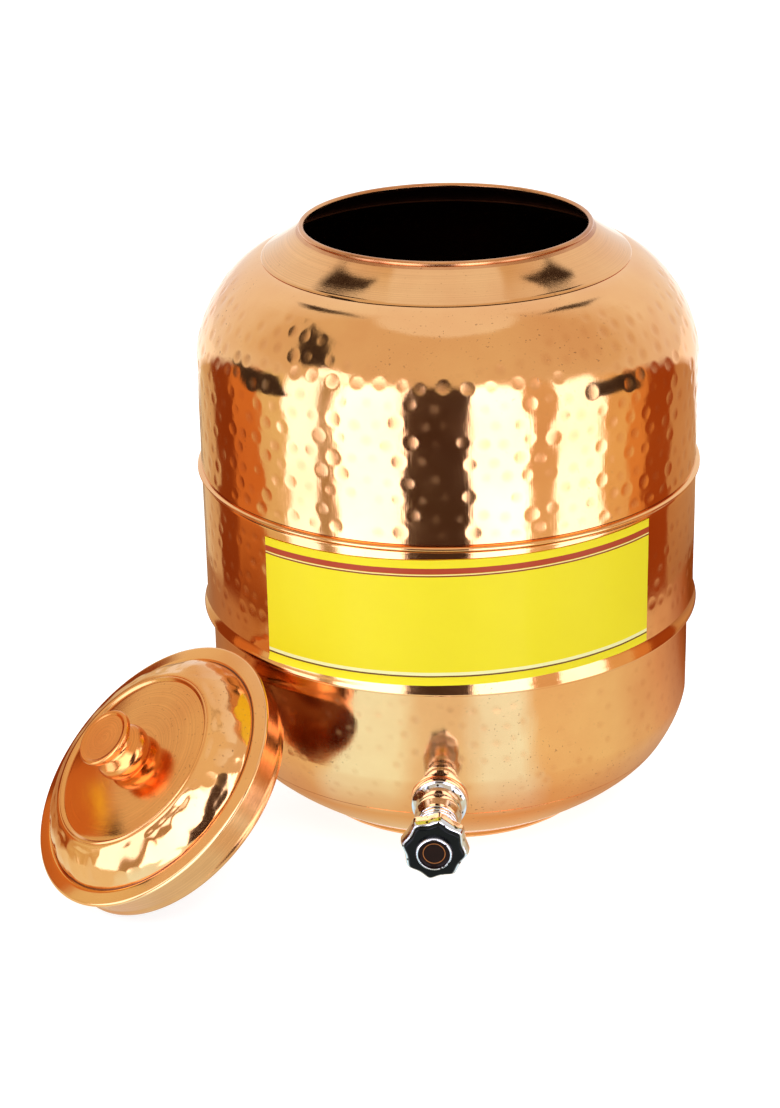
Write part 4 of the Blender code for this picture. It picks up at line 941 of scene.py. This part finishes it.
def floor_finish():
    """Matt white, with light of its own only for rays that come straight from the eye or off a
    gloss, so that the sheet is white there and still takes a shadow."""
    material, tree, shader = blank_finish("studio_floor")
    give(tree, shader, {"Base Color": (0.50, 0.50, 0.50, 1.0), "Roughness": 1.0, "Specular IOR Level": 0.0,
                        "Emission Color": (1.0, 1.0, 1.0, 1.0),
                        "Emission Strength": joined(tree, seen_directly(tree), 0.85)})
    return material


floor_mesh = bpy.data.meshes.new("stage_floor")
floor_mesh.from_pydata([(FLOOR_REACH * x, FLOOR_REACH * y, FLOOR_Z)
                        for x, y in ((-1, -1), (1, -1), (1, 1), (-1, 1))],
                       [], [(0, 1, 2, 3)])
floor_mesh.materials.append(floor_finish())
plane = bpy.data.objects.new("stage_floor", floor_mesh)
scene.collection.objects.link(plane)


# Studio sweep. One bent reflector sheet, seen only in the gloss of the metal: it lies
# on the floor round the pot, with a painted pool of light out in front and painted shade
# close round the pot and behind it, and turns up into white softbox faces and warm sides.
SWEEP_RADIUS = 0.42
SWEEP_HEIGHT = 0.439
SWEEP_DROP = 0.137
SWEEP_FEATHER = 0.030
SWEEP_LIFT = -0.0001
SWEEP_FOOT = 0.085
EDGE_BLUR = 0.8
sweep_sides = ((-180.0, -138.0, (0.50, 0.36, 0.22)), (-138.0, -125.0, (0.80, 0.64, 0.38)),
               (-125.0, -112.5, (0.72, 0.52, 0.28)), (-112.5, -94.0, (0.28, 0.060, 0.012)),
               (-94.0, -76.0, (0.72, 0.257, 0.066)), (-76.0, -63.0, (0.89, 0.80, 0.50)),
               (-63.0, -48.0, (2.3, 2.5, 3.2)), (-48.0, -40.5, (0.52, 0.40, 0.24)),
               (-40.5, -14.0, (3.6, 3.6, 4.4)), (-14.0, 11.0, (0.07, 0.043, 0.035)),
               (11.0, 32.6, (3.6, 3.6, 4.4)), (32.6, 44.0, (0.86, 0.64, 0.40)),
               (44.0, 64.0, (2.5, 2.7, 3.3)), (64.0, 78.0, (0.90, 0.66, 0.34)),
               (78.0, 88.0, (0.80, 0.36, 0.11)), (88.0, 107.0, (0.385, 0.085, 0.016)),
               (107.0, 180.0, (0.64, 0.38, 0.18)))
foot_shares = ((-95.0, (1.0, 1.0, 1.0)), (-92.0, (0.42, 0.30, 0.25)), (-78.0, (0.45, 0.32, 0.28)),
               (-74.0, (0.80, 0.60, 0.45)), (-64.0, (0.90, 0.80, 0.65)), (-60.0, (1.0, 1.0, 1.0)),
               (62.0, (1.0, 1.0, 1.0)), (66.0, (0.90, 0.80, 0.65)), (86.0, (0.70, 0.55, 0.50)),
               (100.0, (0.90, 0.85, 0.85)), (112.0, (0.72, 0.62, 0.62)), (180.0, (0.62, 0.50, 0.45)))
# Painted light on the floor part of the sweep: the far stops are a painted pool of light, bright in front and
# darker and warmer at the sides and behind the pot; the near stops are painted shade, darker and warmer,
# close round the pot where its shadow and the light thrown off the copper fall.
far_floor_painted_light = ((-180.0, (0.5, 0.35, 0.2)), (-128.0, (0.42, 0.20, 0.09)), (-99.0, (0.56, 0.28, 0.12)),
             (-80.0, (0.60, 0.30, 0.11)), (-70.0, (0.95, 0.90, 0.66)), (-46.0, (0.97, 0.95, 0.72)),
             (-38.0, (1.06, 1.50, 1.75)), (-17.0, (1.06, 1.45, 1.60)), (-9.0, (0.98, 1.05, 0.95)),
             (7.0, (0.98, 1.05, 0.95)), (15.0, (1.08, 1.50, 1.80)), (28.0, (1.08, 1.50, 1.80)),
             (36.0, (0.97, 0.88, 0.64)), (70.0, (0.95, 0.94, 0.70)), (99.0, (0.81, 0.56, 0.36)),
             (125.0, (0.42, 0.13, 0.04)), (135.0, (0.26, 0.06, 0.01)), (160.0, (0.26, 0.06, 0.01)),
             (180.0, (0.4, 0.25, 0.15)))
near_floor_painted_shade = ((-180.0, (0.70, 0.48, 0.26)), (-99.0, (0.50, 0.26, 0.11)), (-49.0, (0.72, 0.46, 0.24)),
              (-15.0, (0.82, 0.64, 0.37)), (26.0, (0.86, 0.55, 0.28)), (49.0, (0.74, 0.46, 0.24)),
              (99.0, (0.52, 0.28, 0.14)), (180.0, (0.80, 0.58, 0.32)))


def glow_finish(name, from_below):
    """Light of the colour kept in the sheet's own attribute, clear where its alpha is 0. A sheet
    lit from below is clear to whatever looks down on it."""
    material, tree, shader = blank_finish(name)
    kept = add_node(tree, "ShaderNodeAttribute", attribute_name="glow").outputs
    share = kept["Alpha"]
    if from_below:
        share = joined(tree, add_node(tree, "ShaderNodeNewGeometry").outputs["Backfacing"], share)
    glow = add_node(tree, "ShaderNodeEmission", {"Color": kept["Color"]})
    clear = add_node(tree, "ShaderNodeBsdfTransparent")
    blend = add_node(tree, "ShaderNodeMixShader", {0: share, 1: clear.outputs["BSDF"],
                                                   2: glow.outputs["Emission"]})
    tree.nodes.remove(shader)
    give(tree, tree.nodes["Material Output"], {"Surface": blend.outputs["Shader"]})
    return material


def studio_reflector(name, points, faces, glow, from_below=False):
    """A sheet that only gloss shows, with its light as a colour and alpha at each point."""
    mesh = bpy.data.meshes.new(name)
    mesh.from_pydata(points.reshape(-1, 3).tolist(), [], faces.tolist())
    layer = mesh.attributes.new("glow", "FLOAT_COLOR", "POINT")
    layer.data.foreach_set("color", np.ascontiguousarray(glow, np.float32).ravel())
    mesh.materials.append(glow_finish(name, from_below))
    card = bpy.data.objects.new(name, mesh)
    scene.collection.objects.link(card)
    card.visible_camera = False
    card.visible_diffuse = False
    card.visible_transmission = False
    card.visible_shadow = False


def studio_sweep():
    """Rows of points on rings: out along the floor, then up to a rim whose height falls with the
    square of the azimuth. Each row's colour is read between stops by azimuth (0 is -Y, + is +X)."""
    azimuth = np.linspace(-180.0, 180.0, 721)

    def read(stops):
        places = [place for place, _ in stops]
        return np.stack([np.interp(azimuth, places, [colour[k] for _, colour in stops]) for k in range(3)],
                        axis=1)

    sides = []
    for start, end, colour in sweep_sides:
        sides += [(start + EDGE_BLUR, colour), (end - EDGE_BLUR, colour)]
    far_painted_light, near, side = read(far_floor_painted_light), read(near_floor_painted_shade), read(sides)
    foot = side * read(foot_shares)
    top = np.maximum(SWEEP_HEIGHT - SWEEP_DROP * (azimuth / 90.0) ** 2, 0.06)
    flat = np.zeros_like(azimuth)
    # The floor rows carry painted shade close round the pot and a painted pool of light further out.
    rows = ((0.084, flat, near, 1.0), (0.115, flat, near, 1.0), (0.160, flat, 0.3 * near + 0.7 * far_painted_light, 1.0),
            (0.250, flat, far_painted_light, 1.0), (SWEEP_RADIUS - 0.012, flat, far_painted_light, 1.0),
            (SWEEP_RADIUS, flat + 0.006, foot, 1.0), (SWEEP_RADIUS, np.minimum(top, SWEEP_FOOT), side, 1.0),
            (SWEEP_RADIUS, top + 0.0001, side, 1.0), (SWEEP_RADIUS, top + SWEEP_FEATHER, side, 0.0))
    angle = np.radians(azimuth - 90.0)
    points = np.vstack([np.stack([radius * np.cos(angle), radius * np.sin(angle), height + SWEEP_LIFT],
                                 axis=1) for radius, height, _, _ in rows])
    glow = np.vstack([np.column_stack([colour, np.full(len(azimuth), alpha)])
                      for _, _, colour, alpha in rows])
    studio_reflector("stage_sweep", points, grid_faces(len(rows), len(azimuth), False, False)[0], glow)


studio_sweep()


# Studio cards. Soft-edged sheets that stand outside the sweep, and three that lie
# level over the lid: they give the dark, warm and bright patches in the metal.
FLAG_RADIUS = 0.90
LOW_FLAG_RADIUS = 0.40
dark = (0.05, 0.035, 0.03)
standing_cards = (
    ("neck_left", FLAG_RADIUS, dark, ((-128.0, 1.18), (-115.5, 1.26), (-105.0, 2.45), (-118.0, 2.15))),
    ("neck_right", FLAG_RADIUS, dark, ((119.5, 1.32), (133.0, 1.12), (128.0, 1.70), (112.7, 2.30))),
    ("shoulder_left", FLAG_RADIUS, dark, ((-70.0, 0.66), (-50.0, 0.74), (-66.0, 1.15), (-98.0, 1.30))),
    ("bright_left", FLAG_RADIUS, (2.6, 2.6, 3.2),
     ((-60.0, 0.60), (-42.0, 0.66), (-42.0, 0.80), (-60.0, 0.74))),
    ("low_left", LOW_FLAG_RADIUS, dark, ((-81.0, 0.238), (-56.0, 0.296), (-66.0, 0.362), (-98.0, 0.320))),
    ("low_right", LOW_FLAG_RADIUS, dark, ((55.0, 0.296), (83.0, 0.246), (84.0, 0.330), (59.0, 0.366))))
level_cards = (
    ("card", 0.150, (0.90, 0.76, 0.52), ((-0.43, -0.18), (-0.08, -0.25), (-0.15, 0.02), (-0.36, 0.02))),
    ("dark", 0.149, dark, ((-0.425, -0.150), (-0.365, -0.155), (-0.360, -0.094), (-0.410, -0.092))),
    ("gold", 0.148, (1.20, 1.00, 0.10),
     ((-0.425, -0.097), (-0.388, -0.097), (-0.386, -0.025), (-0.420, -0.020))))


def studio_flag(name, corners, colour, ring=FLAG_RADIUS, count=9, level=None):
    """A card on a wide ring, between four corners of (azimuth, height): a grid of points shared
    out between the corners, whose alpha falls to 0 at its border. With a level, the corners are
    (x, y) and the card lies flat there, lit from below."""
    u, v = np.meshgrid(np.linspace(0.0, 1.0, count), np.linspace(0.0, 1.0, count), indexing="ij")
    shares = np.stack([(1 - u) * (1 - v), u * (1 - v), u * v, (1 - u) * v], axis=-1)
    spot = shares @ np.array(corners)
    if level is None:
        angle = np.radians(spot[..., 0] - 90.0)
        points = np.stack([ring * np.cos(angle), ring * np.sin(angle), spot[..., 1]], axis=-1)
    else:
        points = np.stack([spot[..., 0], spot[..., 1], np.full(u.shape, level)], axis=-1)
    alpha = np.clip(8.0 * np.minimum(np.minimum(u, 1 - u), np.minimum(v, 1 - v)), 0.0, 1.0)
    glow = np.concatenate([np.broadcast_to(np.array(colour), points.shape), alpha[..., None]], axis=-1)
    studio_reflector(name, points, grid_faces(count, count, False, False)[0], glow, level is not None)


for name, ring, colour, corners in standing_cards:
    studio_flag("stage_flag_" + name, corners, colour, ring)
studio_flag("stage_canopy", ((-124.0, 0.28), (114.0, 0.28), (150.0, 3.6), (-134.0, 3.6)), (0.84, 0.71, 0.53),
            ring=1.10, count=33)
for name, level, colour, corners in level_cards:
    studio_flag("stage_lid_" + name, corners, colour, level=level)


# Studio light. One broad soft lamp above and before the pot, a weaker one from
# the left, and an even pale surround.
for name, place, aim, size, power in (("key_lamp", (0.5, -1.4, 2.2), (0.0, 0.0, 0.1), 1.6, 35.0),
                                      ("fill_lamp", (-1.6, -0.8, 1.3), (0.0, 0.0, 0.15), 1.2, 13.0)):
    lamp = bpy.data.lights.new(name, "AREA")
    lamp.shape = "SQUARE"
    lamp.size = size
    lamp.energy = power
    lamp_object = bpy.data.objects.new(name, lamp)
    scene.collection.objects.link(lamp_object)
    lamp_object.location = place
    lamp_object.rotation_euler = (Vector(aim) - Vector(place)).to_track_quat("-Z", "Y").to_euler()
    lamp_object.visible_glossy = False

world = bpy.data.worlds.new("studio")
scene.world = world
world.use_nodes = True
surround = world.node_tree
pale = ranged(surround, seen_directly(surround), 0.0, 1.0, 0.68, 1.0)
give(surround, surround.nodes["Background"], {"Color": (1.0, 1.0, 1.0, 1.0), "Strength": pale})

scene.view_settings.view_transform = "Standard"


# Camera. A long lens a little above and to the right of the tap, tipped down.
CAMERA_HEIGHT = 0.7291
CAMERA_DISTANCE = 1.40
CAMERA_PITCH = 0.3976
CAMERA_YAW = -0.0245
CAMERA_ROLL = -0.0211
CAMERA_SWING = math.radians(2.9)
FOCAL_PIXELS = 2630.4
IMAGE_WIDTH = 780.0
SENSOR_WIDTH = 36.0
forward = np.array([math.sin(CAMERA_YAW) * math.cos(CAMERA_PITCH),
                    math.cos(CAMERA_YAW) * math.cos(CAMERA_PITCH), -math.sin(CAMERA_PITCH)])
right = np.array([math.cos(CAMERA_YAW), -math.sin(CAMERA_YAW), 0.0])
upward = np.cross(right, forward)
across_image = math.cos(CAMERA_ROLL) * right + math.sin(CAMERA_ROLL) * upward
up_image = -math.sin(CAMERA_ROLL) * right + math.cos(CAMERA_ROLL) * upward
pose = np.eye(4)
pose[:3, :3] = about_z(CAMERA_SWING) @ np.stack([across_image, up_image, -forward], axis=1)
pose[:3, 3] = about_z(CAMERA_SWING) @ np.array([0.0, -CAMERA_DISTANCE, CAMERA_HEIGHT])
camera_data = bpy.data.cameras.new("camera")
camera_data.sensor_fit = "HORIZONTAL"
camera_data.sensor_width = SENSOR_WIDTH
camera_data.lens = FOCAL_PIXELS * SENSOR_WIDTH / IMAGE_WIDTH
camera_data.clip_start = 0.01
camera = bpy.data.objects.new("camera", camera_data)
scene.collection.objects.link(camera)
camera.matrix_world = Matrix(pose.tolist())
scene.camera = camera
